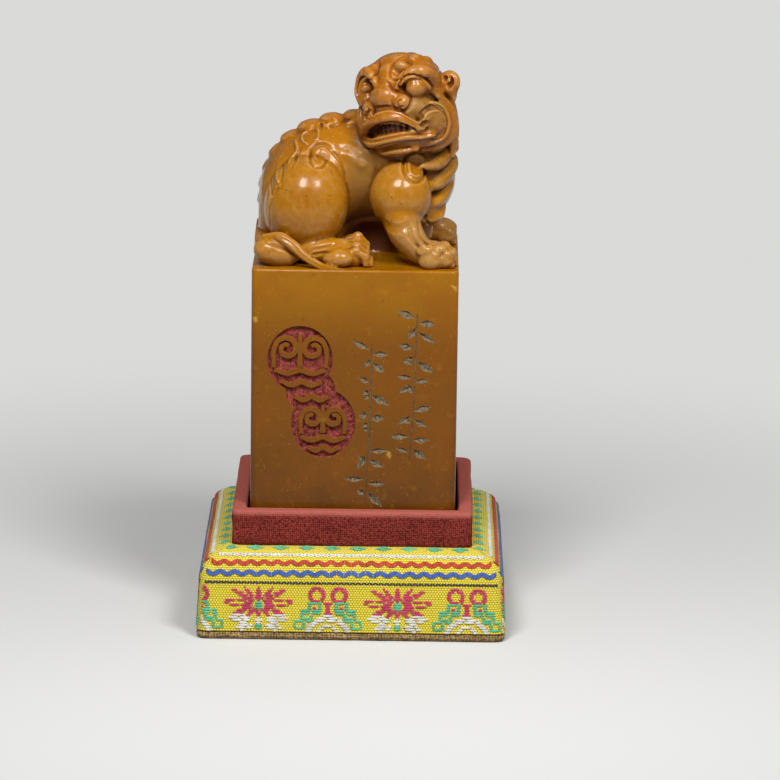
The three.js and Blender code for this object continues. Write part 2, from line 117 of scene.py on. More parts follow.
def ramp(value, low, high, start=0.0, end=1.0):
    """A value carried smoothly from one range to another."""
    values = {0: value, 1: low, 2: high, 3: start, 4: end}
    return new_node("MapRange", values, interpolation_type="SMOOTHSTEP").outputs[0]


def dye(share, first, second):
    """A colour between two colours."""
    return new_node("Mix", {0: share, 6: first, 7: second}, data_type="RGBA").outputs[2]


def mottle(finish, size, detail=3.0, roughness=0.5):
    """Cloudy noise whose patches are about this many metres across."""
    values = {"Vector": coordinates(finish), "Scale": 1 / size, "Detail": detail, "Roughness": roughness}
    return new_node("TexNoise", values).outputs[0]


def relief(finish, height, depth):
    """Fine relief of a real depth, in metres."""
    bump = new_node("Bump", {"Strength": 1.0, "Distance": depth, "Height": height})
    tune(finish, {"Normal": bump.outputs[0]})


pasteboard = new_finish("grey_pasteboard", 0.9)
flecks = mottle(pasteboard, 0.6 * MM, detail=6.0)
tune(pasteboard, {"Base Color": dye(ramp(flecks, 0.35, 0.65), BOARD_DARK, BOARD_PALE)})
relief(pasteboard, flecks, 0.05 * MM)

SIDES = ("front", "right", "back", "left")
boards = ["bottom_board", "plinth_top_board", "tray_floor_board"]
boards += [f"{part}_{side}" for part in ("plinth_board", "tray_board") for side in SIDES]
for board in boards:
    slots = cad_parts[board].data.materials
    slots.clear()
    slots.append(pasteboard)

# Linen of the bottom panel
# Coarse tan linen covers the underside of the panel and is drawn up round its edge, where it
# shows as a soft rim. Its hem is glued down on top of the board, under the plinth.
LINEN_PALE = (0.50, 0.34, 0.15)
# Painted shade in the gaps between the linen's threads.
LINEN_GAP_SHADE = (0.17, 0.10, 0.035)
LINEN_THREAD = 0.62 * MM
LINEN_HEM = 8 * MM
LINEN_CORNER = 2.2 * MM
LINEN_ROLL = 0.9 * MM
LINEN_ROLL_STEPS = 8
LINEN_WRINKLE = 0.1 * MM
LINEN_WRINKLE_SIZE = 3 * MM
SIDE_STEPS = 66
CORNER_STEPS = 6
CREASE = math.radians(60)


def edges_of(points):
    return list({edge for point in points for edge in point.link_edges})


def square_loop(bm, half, radius, height):
    """The edges of a level loop of points round a square with rounded corners."""
    quarter_steps = SIDE_STEPS + CORNER_STEPS
    points = bmesh.ops.create_circle(bm, segments=4 * quarter_steps, radius=half)["verts"]
    for place, point in enumerate(points):
        quarter, step = divmod(place, quarter_steps)
        angle = max(0, step - SIDE_STEPS) / CORNER_STEPS * math.pi / 2
        along = min(step, SIDE_STEPS) / SIDE_STEPS * 2 - 1
        spot = Vector((half - radius + radius * math.cos(angle), (half - radius) * along, height))
        spot.y += radius * math.sin(angle)
        point.co = Matrix.Rotation(quarter * math.pi / 2, 3, "Z") @ spot
    return edges_of(points)


def wall_of(bm, levels, shut=""):
    """Walls between square loops, each with its half width, corner radius and height.
    The first or last loop may be shut."""
    loops = [square_loop(bm, *level) for level in levels]
    for lower, upper in zip(loops, loops[1:]):
        bmesh.ops.bridge_loops(bm, edges=lower + upper)
    for name, loop in (("first", loops[0]), ("last", loops[-1])):
        if name in shut:
            bmesh.ops.edgenet_fill(bm, edges=loop)
    bmesh.ops.recalc_face_normals(bm, faces=bm.faces)


def flat_map(bm):
    """A map in metres, laid on each face from the side that it faces."""
    layer = bm.loops.layers.uv.verify()
    for face in bm.faces:
        facing = [abs(part) for part in face.normal]
        side = facing.index(max(facing))
        across, along = ((1, 2), (0, 2), (0, 1))[side]
        for corner in face.loops:
            corner[layer].uv = (corner.vert.co[across], corner.vert.co[along])


def mesh_from(bm, name):
    """The mesh of a bmesh, which is done with."""
    mesh = bpy.data.meshes.new(name)
    bm.to_mesh(mesh)
    bm.free()
    return mesh


def new_object(name, data):
    """An object that stands in the scene."""
    added = bpy.data.objects.new(name, data)
    bpy.context.scene.collection.objects.link(added)
    return added


def settle(bm, name, finishes):
    """Makes a bmesh a piece of the scene, smooth up to a crease."""
    mesh = mesh_from(bm, name)
    for finish in finishes:
        mesh.materials.append(finish)
    mesh.shade_smooth()
    mesh.set_sharp_from_angle(angle=CREASE)
    return new_object(name, mesh)


def thicken(piece, thickness):
    """Gives a skin its thickness, on the inside."""
    cloth = piece.modifiers.new("cloth", "SOLIDIFY")
    cloth.thickness = thickness
    cloth.offset = -1
    cloth.use_even_offset = True


def plain_weave(finish, thread):
    """How high the threads of a plain weave stand on the map, from 0 in the gaps to 1."""
    over, up, _ = axes_of(coordinates(finish, "UV"))
    waves = [sum_of("SINE", times(part, math.pi / thread)) for part in (over, up)]
    return sum_of("ABSOLUTE", times(*waves))


def woven(name, pale, dark, thread, depth, worn, sheen):
    """Matt woven cloth: threads, painted shade in their gaps, worn patches, loose fibres, a soft bloom."""
    cloth = new_finish(name, 0.95, 0.15)
    fibres = ramp(mottle(cloth, 1.1 * thread, roughness=0.75), 0.36, 0.64)
    slubs = ramp(mottle(cloth, 2.6 * thread, detail=2.0, roughness=0.6), 0.3, 0.7, 0.3, 0.75)
    height = plus(times(plain_weave(cloth, thread), slubs), times(fibres, 0.6))
    bright = tuple(min(1.0, part * worn) for part in pale)
    threads = dye(ramp(mottle(cloth, 5 * MM), 0.4, 0.7), pale, bright)
    tune(cloth, {
        # Painted shade: the gaps between threads take the dark colour.
        "Base Color": dye(ramp(height, 0.12, 0.95), dark, threads),
        "Sheen Weight": sheen,
        "Sheen Roughness": 0.5,
        "Sheen Tint": bright,
    })
    relief(cloth, height, depth)
    return cloth


linen = woven("tan_linen", LINEN_PALE, LINEN_GAP_SHADE, LINEN_THREAD, 0.22 * MM, worn=1.25, sheen=0.3)
panel_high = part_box("bottom_cloth")[1]
linen_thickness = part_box("bottom_board")[0].z - 0.06 * MM
panel_edge = panel_high.x - LINEN_ROLL

bm = bmesh.new()
rim = [(panel_edge - LINEN_HEM, LINEN_CORNER, 0.0)]
for step in range(LINEN_ROLL_STEPS + 1):
    angle = math.pi * (step / LINEN_ROLL_STEPS - 0.5)
    height = panel_high.z * (math.sin(angle) + 1) / 2
    rim.append((panel_edge + LINEN_ROLL * math.cos(angle), LINEN_CORNER, height))
rim.append((panel_edge - LINEN_HEM, LINEN_CORNER, panel_high.z))
wall_of(bm, rim, shut="first")
flat_map(bm)
noise.seed_set(4)
for point in bm.verts:
    if LINEN_WRINKLE < point.co.z < panel_high.z - LINEN_WRINKLE:
        point.co += noise.noise_vector(point.co / LINEN_WRINKLE_SIZE) * LINEN_WRINKLE
bottom_linen = settle(bm, "bottom_linen", [linen])
thicken(bottom_linen, linen_thickness)
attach(bottom_linen, "stand")
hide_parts("bottom_cloth")

# Wadding
# A layer of white cotton wadding lies over the board box. It gives the plinth its rounded
# shoulder, and is pressed thin where the ribbon is drawn tight.
WADDING_PALE = (0.82, 0.79, 0.70)
WADDING_DARK = (0.62, 0.58, 0.50)
RIBBON = 0.7 * MM
GLUE = 0.05 * MM
PLINTH_CORNER = 2.4 * MM
SHOULDER_RISE = 6.8 * MM
SHOULDER_REACH = 6.3 * MM
PLINTH_FLARE = 0.6 * MM
band_low, band_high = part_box("brocade_band_front")
plinth_foot, plinth_top = band_low.z, band_high.z
plinth_half = -band_low.y - PLINTH_FLARE
shoulder_start = plinth_top - SHOULDER_RISE


def plinth_profile(inset, steps=10):
    """Half widths and heights up the side of the plinth, drawn in below its surface."""
    profile = [(plinth_half + PLINTH_FLARE - inset, plinth_foot)]
    for step in range(steps + 1):
        angle = step / steps * math.pi / 2
        half = plinth_half - inset - SHOULDER_REACH * (1 - math.cos(angle))
        profile.append((half, shoulder_start + (SHOULDER_RISE - inset) * math.sin(angle)))
    return profile


def join_in(bm, added):
    """Adds one bmesh to another."""
    bm.from_mesh(mesh_from(added, "added"))


cotton = new_finish("white_cotton", 1.0, 0.1)
tufts = mottle(cotton, 1.2 * MM, detail=8.0, roughness=0.7)
tune(cotton, {"Base Color": dye(ramp(tufts, 0.35, 0.65), WADDING_DARK, WADDING_PALE), "Sheen Weight": 0.4})
relief(cotton, tufts, 0.5 * MM)

box_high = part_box("plinth_top_board")[1]
box_half = box_high.x + GLUE
bm = bmesh.new()
outside = [(half, PLINTH_CORNER, height) for half, height in plinth_profile(RIBBON + 2 * GLUE)]
wall_of(bm, [*outside, (box_half, PLINTH_CORNER, outside[-1][2])], shut="last")
hollow = bmesh.new()
wall_of(hollow, [(box_half, GLUE, plinth_foot), (box_half, GLUE, box_high.z + GLUE)], shut="last")
bmesh.ops.reverse_faces(hollow, faces=hollow.faces)
join_in(bm, hollow)
bmesh.ops.bridge_loops(bm, edges=[edge for edge in bm.edges if edge.is_boundary])
bmesh.ops.recalc_face_normals(bm, faces=bm.faces)
wadding = settle(bm, "cotton_wadding", [cotton])
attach(wadding, "stand")
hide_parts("wadding")

# Brocade ribbon
# Four lengths of yellow woven ribbon are drawn over the wadding and meet on a mitre at each
# corner. The ground is a fine weave, and the coloured weft floats on it as flowers, butterflies
# and zigzags. Each float is a thread of its own. The ribbon's upper edge is tucked under the tray.
CELL = 0.56 * MM
REPEAT = 30.3 * MM
FIRST_LOTUS = -20.2 * MM
SEAM = 0.3 * MM
FLOAT_HEIGHT = 0.16 * MM
FLOAT_LONGEST = 2.4 * MM
RIBBON_STEPS = (236, 88)
RIBBON_CLOTH = 0.4 * MM
RIBBON_SINK = 0.1 * MM
THREAD_RISE = 0.03 * MM
PUFF = 0.16 * MM
PUFF_SIZE = 9 * MM
GROUND_PALE = (0.97, 0.81, 0.050)
# Painted shade in the gaps between the ground's threads.
GROUND_GAP_SHADE = (0.46, 0.30, 0.016)
SILKS = {
    "pink": (0.68, 0.036, 0.14),
    "green": (0.12, 0.58, 0.33),
    "white": (0.95, 0.95, 0.83),
    "red": (0.54, 0.030, 0.006),
    "blue": (0.040, 0.115, 0.48),
    "navy": (0.012, 0.014, 0.055),
}
tuck_edge = -band_high.y

profile = np.array(plinth_profile(0, 24) + [(tuck_edge, plinth_top)])
profile_run = np.concatenate([[0], np.cumsum(np.hypot(*np.diff(profile, axis=0).T))])
ribbon_width = profile_run[-1]


def band_reach(up):
    """Half the length of the ribbon between its mitres, this far up from its lower edge."""
    half = np.interp(up, profile_run, profile[:, 0])
    radius = min(PLINTH_CORNER, half)
    return half - radius + radius * math.pi / 4 - SEAM / 2


def profile_at(up):
    """The half width and height of the plinth, this far up the ribbon."""
    return np.array([np.interp(up, profile_run, column) for column in profile.T])


def on_band(along, up, lift):
    """The place on the plinth's front at a distance along the ribbon and up from its lower edge."""
    half, height = profile_at(up)
    nudge = 0.1 * MM
    rise = profile_at(up + nudge) - profile_at(up - nudge)
    rise /= np.hypot(*rise)
    half += lift * rise[1]
    height -= lift * rise[0]
    straight = half - PLINTH_CORNER
    turn = max(0.0, abs(along) - straight) / PLINTH_CORNER
    across = min(abs(along), straight) + PLINTH_CORNER * math.sin(turn)
    return Vector((math.copysign(across, along), -(straight + PLINTH_CORNER * math.cos(turn)), height))


def leaf(root, tip, width):
    """True inside a leaf shape from a root to a tip, in millimetres."""
    root, tip = Vector(root), Vector(tip)
    line = tip - root

    def inside(x, y):
        share = (Vector((x, y)) - root).dot(line) / line.length_squared
        away = abs((Vector((x, y)) - root).cross(line)) / line.length
        return 0 <= share <= 1 and away <= width * math.sin(math.pi * min(1, 0.12 + 0.88 * share)) ** 0.7

    return inside


def ring(middle, outer, inner):
    return lambda x, y: inner <= math.dist((x, y), middle) <= outer


def patch(middle, wide, high):
    return lambda x, y: abs(x - middle[0]) <= wide / 2 and abs(y - middle[1]) <= high / 2


def lozenge(middle, wide, high):
    return lambda x, y: abs(x - middle[0]) / wide + abs(y - middle[1]) / high <= 0.5


def lotus():
    """A flower in pink with a green heart, on white leaves: (silk, shape) pairs, the top one last."""
    shapes = []
    for side in (-1, 1):
        shapes += [
            ("pink", leaf((side * 1.6, 6.3), (side * 8.0, 6.7), 1.0)),
            (None, leaf((side * 3.2, 6.4), (side * 6.6, 6.6), 0.32)),
            ("pink", leaf((side * 1.2, 7.0), (side * 6.3, 9.6), 0.62)),
            ("pink", leaf((side * 0.7, 7.2), (side * 3.3, 10.0), 0.55)),
            ("pink", leaf((side * 1.3, 5.4), (side * 5.9, 4.0), 0.62)),
            ("pink", leaf((side * 0.7, 5.0), (side * 2.7, 3.4), 0.5)),
            ("white", leaf((side * 1.6, 2.6), (side * 6.9, 3.2), 0.95)),
            ("white", leaf((side * 1.2, 1.4), (side * 5.4, 0.7), 0.8)),
        ]
    shapes += [
        ("pink", leaf((0, 7.0), (0, 10.1), 0.75)),
        ("pink", leaf((0, 5.0), (0, 3.2), 0.7)),
        ("pink", ring((0, 6.0), 1.9, 1.2)),
        ("white", lozenge((0, 2.4), 2.2, 1.9)),
        ("green", patch((0, 6.0), 1.9, 1.5)),
        ("green", patch((0, 1.2), 1.7, 1.3)),
    ]
    return shapes


def butterfly():
    """A butterfly with green wings of linked squares, pink rings for feelers and a low white arch."""
    shapes = [
        ("white", ring((0, -1.6), 5.4, 4.0)),
        ("white", lozenge((0, 3.3), 3.2, 2.4)),
        ("white", ring((0, -0.6), 2.5, 1.6)),
    ]
    for side in (-1, 1):
        shapes.append(("pink", ring((side * 2.45, 8.3), 2.05, 0.95)))
        for along, up, wide, high in ((2.9, 5.5, 3.2, 2.9), (4.7, 3.5, 3.1, 2.7), (6.3, 1.6, 2.9, 2.5)):
            shapes += [
                ("green", patch((side * along, up), wide, high)),
                (None, patch((side * along, up), 0.4 * wide, 0.3 * high)),
            ]
        shapes.append(("pink", patch((side * 2.9, 5.5), 0.9, 0.6)))
    for up, wide, high in ((5.3, 1.2, 2.6), (6.7, 2.3, 0.6), (4.3, 2.1, 0.6)):
        shapes.append(("pink", patch((0, up), wide, high)))
    return shapes


LOTUS, BUTTERFLY = lotus(), butterfly()
# Where the field of flowers ends, and the spacing and height of the row of buds, in millimetres.
FIELD_TOP = 10.4
BUD_STEP = 5.6
BUD_HEIGHT = 20.0


def silk_at(x, y):
    """The silk that floats over the ground at a place in millimetres, or None for bare ground."""
    if y > FIELD_TOP:
        away = abs(((x + 1.6) / BUD_STEP) % 1 - 0.5) * 2 + abs(y - BUD_HEIGHT) / 1.6
        return "green" if away < 0.78 else None
    found = None
    quarter = REPEAT / MM / 4
    place = (x - FIRST_LOTUS / MM + quarter) % (4 * quarter) - quarter
    shapes, middle = (LOTUS, 0) if place < quarter else (BUTTERFLY, 2 * quarter)
    for silk, inside in shapes:
        if inside(place - middle, y):
            found = silk
    return found


def float_runs(up):
    """The runs of one silk along a row of the weave: (silk, start, end)."""
    reach = band_reach(up)
    step = CELL / 4
    count = int(2 * reach / step)
    runs, current, start = [], None, 0.0
    for place in range(count + 1):
        along = -reach + place * step
        silk = silk_at(along / MM, up / MM) if place < count else None
        long_enough = along - start >= FLOAT_LONGEST
        if silk != current or (current and long_enough):
            if current and along - start > 0.6 * step:
                runs.append((current, start, along))
            current, start = silk, along
    return runs


# Each band's silk, height, length of a float, swing, rows, breadth and overlap, in millimetres.
BORDER_BANDS = (
    ("navy", 10.9, 0.62, 0.20, (0.0,), 0.52, 0.02),
    ("blue", 13.0, 1.55, 0.85, (-0.36, 0.0, 0.36), 0.46, 0.12),
    ("red", 15.3, 1.45, 0.8, (-0.36, 0.0, 0.36), 0.46, 0.12),
    ("white", 17.4, 0.8, 0.5, (-0.28, 0.14), 0.4, 0.1),
    ("white", 22.2, 0.8, 0.4, (-0.2, 0.2), 0.4, 0.1),
)


def border_floats():
    """The slanting floats of the zigzag bands and of the thin line."""
    for silk, middle, span, swing, rows, breadth, overlap in BORDER_BANDS:
        reach = band_reach(middle * MM) - 0.5 * MM
        count = int(2 * reach / (span * MM))
        for place in range(count):
            start, end = (-reach + (place + step) * 2 * reach / count for step in (0, 1))
            rise = (swing if place % 2 else -swing) * MM
            for row in rows:
                yield silk, start - overlap * MM, end + overlap * MM, (middle + row) * MM, rise, breadth * MM


def float_thread(bm, silk, start, end, up, rise=0.0, breadth=CELL):
    """One float of silk: a flat thread that rises from the ground, runs over it and dips again."""
    thread = bmesh.ops.create_uvsphere(bm, u_segments=6, v_segments=6, radius=1)["verts"]
    for point in thread:
        share = math.acos(max(-1.0, min(1.0, point.co.z))) / math.pi
        around = math.atan2(point.co.y, point.co.x)
        swell = math.sin(math.pi * share) ** 0.45 if 0.01 < share < 0.99 else 0.0
        along = start + (end - start) * share
        across = math.cos(around) * swell * 0.5 * breadth + rise * (share - 0.5)
        over = max(-0.1, math.sin(around)) * swell
        point.co = on_band(along, up + across, (0.15 + over) * FLOAT_HEIGHT)
    for face in {face for point in thread for face in point.link_faces}:
        face.material_index = 1 + list(SILKS).index(silk)


def silk_finish(name, colour):
    """Silk thread: fine strands along the float, a soft shine and a slightly uneven dye."""
    silk = new_finish(name, 0.55, 0.4)
    strands = mottle(silk, 0.16 * MM, roughness=0.7)
    tone = ramp(plus(strands, times(mottle(silk, 3 * MM), 0.5)), 0.45, 1.0)
    dark = tuple(0.5 * part for part in colour)
    bright = tuple(min(1.0, part * 1.2 + 0.02) for part in colour)
    tune(silk, {"Base Color": dye(tone, dark, bright), "Sheen Weight": 0.25, "Sheen Roughness": 0.4})
    relief(silk, strands, 0.06 * MM)
    return silk


ground = new_finish("yellow_ground", 0.6, 0.35)
bricks = new_node("TexBrick", {
    "Vector": coordinates(ground, "UV"),
    "Color1": (1.0, 1.0, 1.0),
    "Color2": (0.72, 0.72, 0.72),
    "Mortar": (0.0, 0.0, 0.0),
    "Scale": 1.0,
    "Mortar Size": 0.17 * CELL,
    "Mortar Smooth": 1.0,
    "Brick Width": 1.1 * CELL,
    "Row Height": 0.9 * CELL,
})
# Painted shade: the mortar of the brick texture darkens the gaps between the ground's threads.
grain = plus(bricks.outputs["Color"], times(mottle(ground, 0.2 * MM), 0.35))
tone = ramp(plus(grain, times(mottle(ground, 6 * MM), 0.25)), 0.25, 1.0)
tune(ground, {"Base Color": dye(tone, GROUND_GAP_SHADE, GROUND_PALE), "Sheen Weight": 0.2})
relief(ground, grain, 0.14 * MM)
silks = [silk_finish(f"{name}_silk", colour) for name, colour in SILKS.items()]

chance = random.Random(7)
ribbon = bmesh.new()
bmesh.ops.create_grid(ribbon, x_segments=RIBBON_STEPS[0], y_segments=RIBBON_STEPS[1], size=1)
layer = ribbon.loops.layers.uv.verify()
places = {}
for point in ribbon.verts:
    up = (point.co.y + 1) / 2 * ribbon_width
    places[point] = (point.co.x * band_reach(up), up)
for face in ribbon.faces:
    for corner in face.loops:
        corner[layer].uv = places[corner.vert]
for point, (along, up) in places.items():
    thread = math.sin(math.pi * along / CELL) * math.sin(math.pi * up / CELL)
    puff = noise.noise(Vector((along, up, 0)) / PUFF_SIZE)
    point.co = on_band(along, up, THREAD_RISE * thread + PUFF * puff - RIBBON_SINK)
bmesh.ops.recalc_face_normals(ribbon, faces=ribbon.faces)
if sum(face.normal.y for face in ribbon.faces) > 0:
    bmesh.ops.reverse_faces(ribbon, faces=ribbon.faces)
bmesh.ops.solidify(ribbon, geom=ribbon.faces[:], thickness=RIBBON_CLOTH)
for row in range(int(ribbon_width / CELL)):
    up = (row + 0.5) * CELL
    threads = bmesh.new()
    for silk, start, end in float_runs(up):
        float_thread(threads, silk, start, end, up + chance.uniform(-0.05, 0.05) * CELL)
    join_in(ribbon, threads)
threads = bmesh.new()
for border_float in border_floats():
    float_thread(threads, *border_float)
join_in(ribbon, threads)
front_mesh = mesh_from(ribbon, "brocade")
for turns, side in enumerate(SIDES):
    bm = bmesh.new()
    bm.from_mesh(front_mesh)
    bmesh.ops.rotate(bm, verts=bm.verts, matrix=Matrix.Rotation(turns * math.pi / 2, 3, "Z"))
    band = settle(bm, f"brocade_ribbon_{side}", [ground, *silks])
    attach(band, "stand")
    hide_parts(f"brocade_band_{side}")

# Tray lining
# The floor of the tray is lined with a pad of the same red cotton as its walls.
RED_PALE = (0.34, 0.050, 0.038)
# The paler red of the rim and the inner walls: wear, and painted light.
RED_RIM_WORN_AND_LIT = (0.56, 0.150, 0.115)
# Painted shade in the gaps between the cotton's threads.
RED_GAP_SHADE = (0.080, 0.008, 0.007)
RED_THREAD = 0.42 * MM
PAD_CORNER = 0.6 * MM

red_cotton = woven("red_cotton", RED_PALE, RED_GAP_SHADE, RED_THREAD, 0.14 * MM, worn=1.35, sheen=0.2)
pad_low, pad_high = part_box("tray_floor_pad")
bm = bmesh.new()
wall_of(bm, [
    (pad_high.x - 0.1 * MM, PAD_CORNER, pad_low.z + 0.02 * MM),
    (pad_high.x, PAD_CORNER, pad_low.z + 0.15 * MM),
    (pad_high.x, PAD_CORNER, pad_high.z - 0.12 * MM),
    (pad_high.x - 0.12 * MM, PAD_CORNER, pad_high.z - 0.02 * MM),
], shut="first last")
flat_map(bm)
lining = settle(bm, "floor_lining", [red_cotton])
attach(lining, "stand")
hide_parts("tray_floor_pad")

# Tray cloth
# Plain-woven red cotton is wrapped over the board strips, down the outside and the inside of the
# tray. It is glued, so it lies tight, with faint ripples. Its colour is painted paler along the rim, for wear
# and as painted light from above, and on the inner walls as painted light.
TRAY_CORNER = 1.5 * MM
TRAY_INNER_CORNER = 0.8 * MM
TRAY_CLOTH = 0.4 * MM
TRAY_ROLL = 0.75 * MM
OUTER_ROWS = 9
ROLL_STEPS = 6
INNER_ROWS = 6
RIPPLE = 0.26 * MM

tray_low, tray_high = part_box("tray_wall_cloth")
inner_face = -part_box("tray_board_front")[1].y - GLUE - TRAY_CLOTH
roll_start = tray_high.z - TRAY_ROLL
lining_top = pad_high.z + GLUE
roll = [step / ROLL_STEPS * math.pi / 2 for step in range(ROLL_STEPS + 1)]

levels = [(tray_high.x, TRAY_CORNER, tray_low.z + 0.02 * MM)]
for row in range(1, OUTER_ROWS):
    levels.append((tray_high.x, TRAY_CORNER, tray_low.z + row / OUTER_ROWS * (roll_start - tray_low.z)))
for angle in roll:
    half = tray_high.x - TRAY_ROLL * (1 - math.cos(angle))
    levels.append((half, TRAY_CORNER, roll_start + TRAY_ROLL * math.sin(angle)))
for angle in roll:
    half = inner_face + TRAY_ROLL * (1 - math.sin(angle))
    levels.append((half, TRAY_INNER_CORNER, roll_start + TRAY_ROLL * math.cos(angle)))
for row in range(1, INNER_ROWS + 1):
    levels.append((inner_face, TRAY_INNER_CORNER, roll_start + row / INNER_ROWS * (lining_top - roll_start)))

bm = bmesh.new()
wall_of(bm, levels)
runs = [0.0]
for (half, _, height), (next_half, _, next_height) in zip(levels, levels[1:]):
    runs.append(runs[-1] + math.hypot(next_half - half, next_height - height))
loop_size = 4 * (SIDE_STEPS + CORNER_STEPS)
layer = bm.loops.layers.uv.verify()
bm.verts.index_update()
for face in bm.faces:
    sight = face.normal if abs(face.normal.z) < 0.9 else face.calc_center_median()
    side_on = abs(sight.x) > abs(sight.y)
    for corner in face.loops:
        spot = corner.vert.co
        corner[layer].uv = (spot.y if side_on else spot.x, runs[corner.vert.index // loop_size])
for point in bm.verts:
    place = point.index // loop_size
    if 0 < place < OUTER_ROWS + ROLL_STEPS + 1:
        outside = 1 - place / (OUTER_ROWS + ROLL_STEPS)
        away = Vector((point.co.x, point.co.y, 0)).normalized()
        stretched = Vector((point.co.x / (9 * MM), point.co.y / (9 * MM), point.co.z / (2.2 * MM)))
        point.co += away * (noise.noise(stretched) - 0.25) * RIPPLE * (0.3 + outside)
        point.co.z += noise.noise(Vector((point.co.x, point.co.y, 5 * MM)) / (5 * MM)) * 0.12 * MM
rubbed_and_lit_cotton = red_cotton.copy()
rubbed_and_lit_cotton.name = "rubbed_and_lit_red_cotton"
across, along, height_up = axes_of(coordinates(rubbed_and_lit_cotton))
# Painted light: the rim is paler, partly for wear and partly as light from above; the inner walls are paler
# as painted light.
rim_wear_and_light = ramp(height_up, tray_high.z - 1.6 * MM, tray_high.z - 0.5 * MM)
reach = most(sum_of("ABSOLUTE", across), sum_of("ABSOLUTE", along))
inner_wall_light = ramp(reach, tray_high.x - 1.2 * MM, tray_high.x - 0.6 * MM, 1.0, 0.0)
cloth_colour = rubbed_and_lit_cotton.node_tree.nodes["Principled BSDF"].inputs["Base Color"].links[0].from_socket
tune(rubbed_and_lit_cotton, {"Base Color": dye(times(most(rim_wear_and_light, inner_wall_light), 0.8), cloth_colour, RED_RIM_WORN_AND_LIT)})
tray_cloth = settle(bm, "tray_cloth", [rubbed_and_lit_cotton])
thicken(tray_cloth, TRAY_CLOTH)
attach(tray_cloth, "stand")
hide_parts("tray_wall_cloth")

# Seal stone: the beast
# A crouching beast is carved on top of the block, from the same stone. Its big masses are cut
# first and eased into each other, then folds, curls and toes are laid on, then lines are incised.
VOXEL = 0.25
stone_low, stone_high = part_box("seal_stone")
# Until the stone is set in its place, its sizes are in millimetres from the middle of the block's top.
BLOCK_HALF = stone_high.y / MM
BLOCK_HEIGHT = 58.6
BEAST_FACES = 165000


def smooth_line(points, per_span=6):
    """A smooth line through points."""
    points = [Vector(point) for point in points]
    padded = [2 * points[0] - points[1], *points, 2 * points[-1] - points[-2]]
    line = []
    for a, b, c, d in zip(padded, padded[1:], padded[2:], padded[3:]):
        for step in range(per_span):
            t = step / per_span
            square, cube = (2 * a - 5 * b + 4 * c - d) * t * t, (3 * b - a - 3 * c + d) * t ** 3
            line.append(0.5 * (2 * b + (c - a) * t + square + cube))
    return [*line, points[-1]]


def placed(at, size, turned=Matrix.Identity(4)):
    """The matrix that gives a unit shape its size, its turn and its place."""
    return Matrix.Translation(at) @ turned @ Matrix.Diagonal((*size, 1))


def egg(bm, at, radii, turn=(0, 0, 0)):
    """An egg-shaped mass. Turn is in degrees about X, then Y, then Z."""
    turned = Euler([math.radians(degrees) for degrees in turn]).to_matrix().to_4x4()
    fineness = 4 if max(radii) > 4 else 3
    bmesh.ops.create_icosphere(bm, subdivisions=fineness, radius=1, matrix=placed(at, radii, turned))


def tube(bm, loops):
    """Skin between rings of points, shut at both ends."""
    edges = [edges_of(loop) for loop in loops]
    for lower, upper in zip(edges, edges[1:]):
        bmesh.ops.bridge_loops(bm, edges=lower + upper)
    bmesh.ops.edgenet_fill(bm, edges=edges[0])
    bmesh.ops.edgenet_fill(bm, edges=edges[-1])


def shared_out(values, count):
    """Values spread evenly over a count of places."""
    return np.interp(np.linspace(0, 1, count), np.linspace(0, 1, len(values)), values)


def headings(line):
    """Which way a line runs at each of its points."""
    return [after - before for before, after in zip([line[0], *line], [*line[1:], line[-1]])]


def limb(bm, points, radii, sides=14):
    """A limb, ridge or strand: round sections of changing radius along a smooth line, with round ends."""
    line = smooth_line(points)
    girths = shared_out(radii, len(line))
    loops = []
    for middle, heading, girth in zip(line, headings(line), girths):
        matrix = Matrix.Translation(middle) @ heading.to_track_quat("Z", "Y").to_matrix().to_4x4()
        loops.append(bmesh.ops.create_circle(bm, segments=sides, radius=girth, matrix=matrix)["verts"])
    tube(bm, loops)
    for end in (0, -1):
        matrix = Matrix.Translation(line[end])
        bmesh.ops.create_icosphere(bm, subdivisions=2, radius=girths[end], matrix=matrix)


def slab(middle, size):
    bm = bmesh.new()
    bmesh.ops.create_cube(bm, size=1, matrix=placed(middle, size))
    return bm


def mesh_of(bm):
    """The mesh of a bmesh with its faces turned out."""
    bmesh.ops.recalc_face_normals(bm, faces=bm.faces)
    return mesh_from(bm, "carving")


def carved(mesh, kind, **settings):
    """A mesh after one step of carving: a kind of modifier and its settings."""
    holder = new_object("carving", mesh)
    step = holder.modifiers.new(kind, kind)
    for key, value in settings.items():
        setattr(step, key, value)
    result = bpy.data.meshes.new_from_object(holder.evaluated_get(bpy.context.evaluated_depsgraph_get()))
    bpy.data.objects.remove(holder)
    return result


def fused(mesh, voxel, rounds):
    """One skin over all the masses of a mesh, eased by some rounds of smoothing."""
    skin = carved(mesh, "REMESH", mode="VOXEL", voxel_size=voxel)
    return carved(skin, "SMOOTH", factor=0.5, iterations=rounds)


def combined(first, second, operation):
    """Two closed meshes joined, cut or trimmed by one another."""
    tool = new_object("tool", second)
    result = carved(first, "BOOLEAN", operation=operation, solver="MANIFOLD", object=tool)
    bpy.data.objects.remove(tool)
    return result


def cut_out(mesh, bm):
    """A closed mesh less what a bmesh holds."""
    return combined(mesh, mesh_of(bm), "DIFFERENCE")


def together(*meshes):
    """One mesh that holds several, not yet fused."""
    bm = bmesh.new()
    for mesh in meshes:
        bm.from_mesh(mesh)
    return mesh_of(bm)


def numbers_of(collection, name, width=3):
    """A named value of every point of a mesh, as an array."""
    values = np.empty(len(collection) * width, dtype=np.float32)
    collection.foreach_get(name, values)
    return values.reshape(-1, width)


def pushed(mesh, by):
    """Moves every point of a mesh outwards by its own distance."""
    places = numbers_of(mesh.vertices, "co") + numbers_of(mesh.vertex_normals, "vector") * by[:, None]
    mesh.vertices.foreach_set("co", places.astype(np.float32).ravel())
    mesh.update()


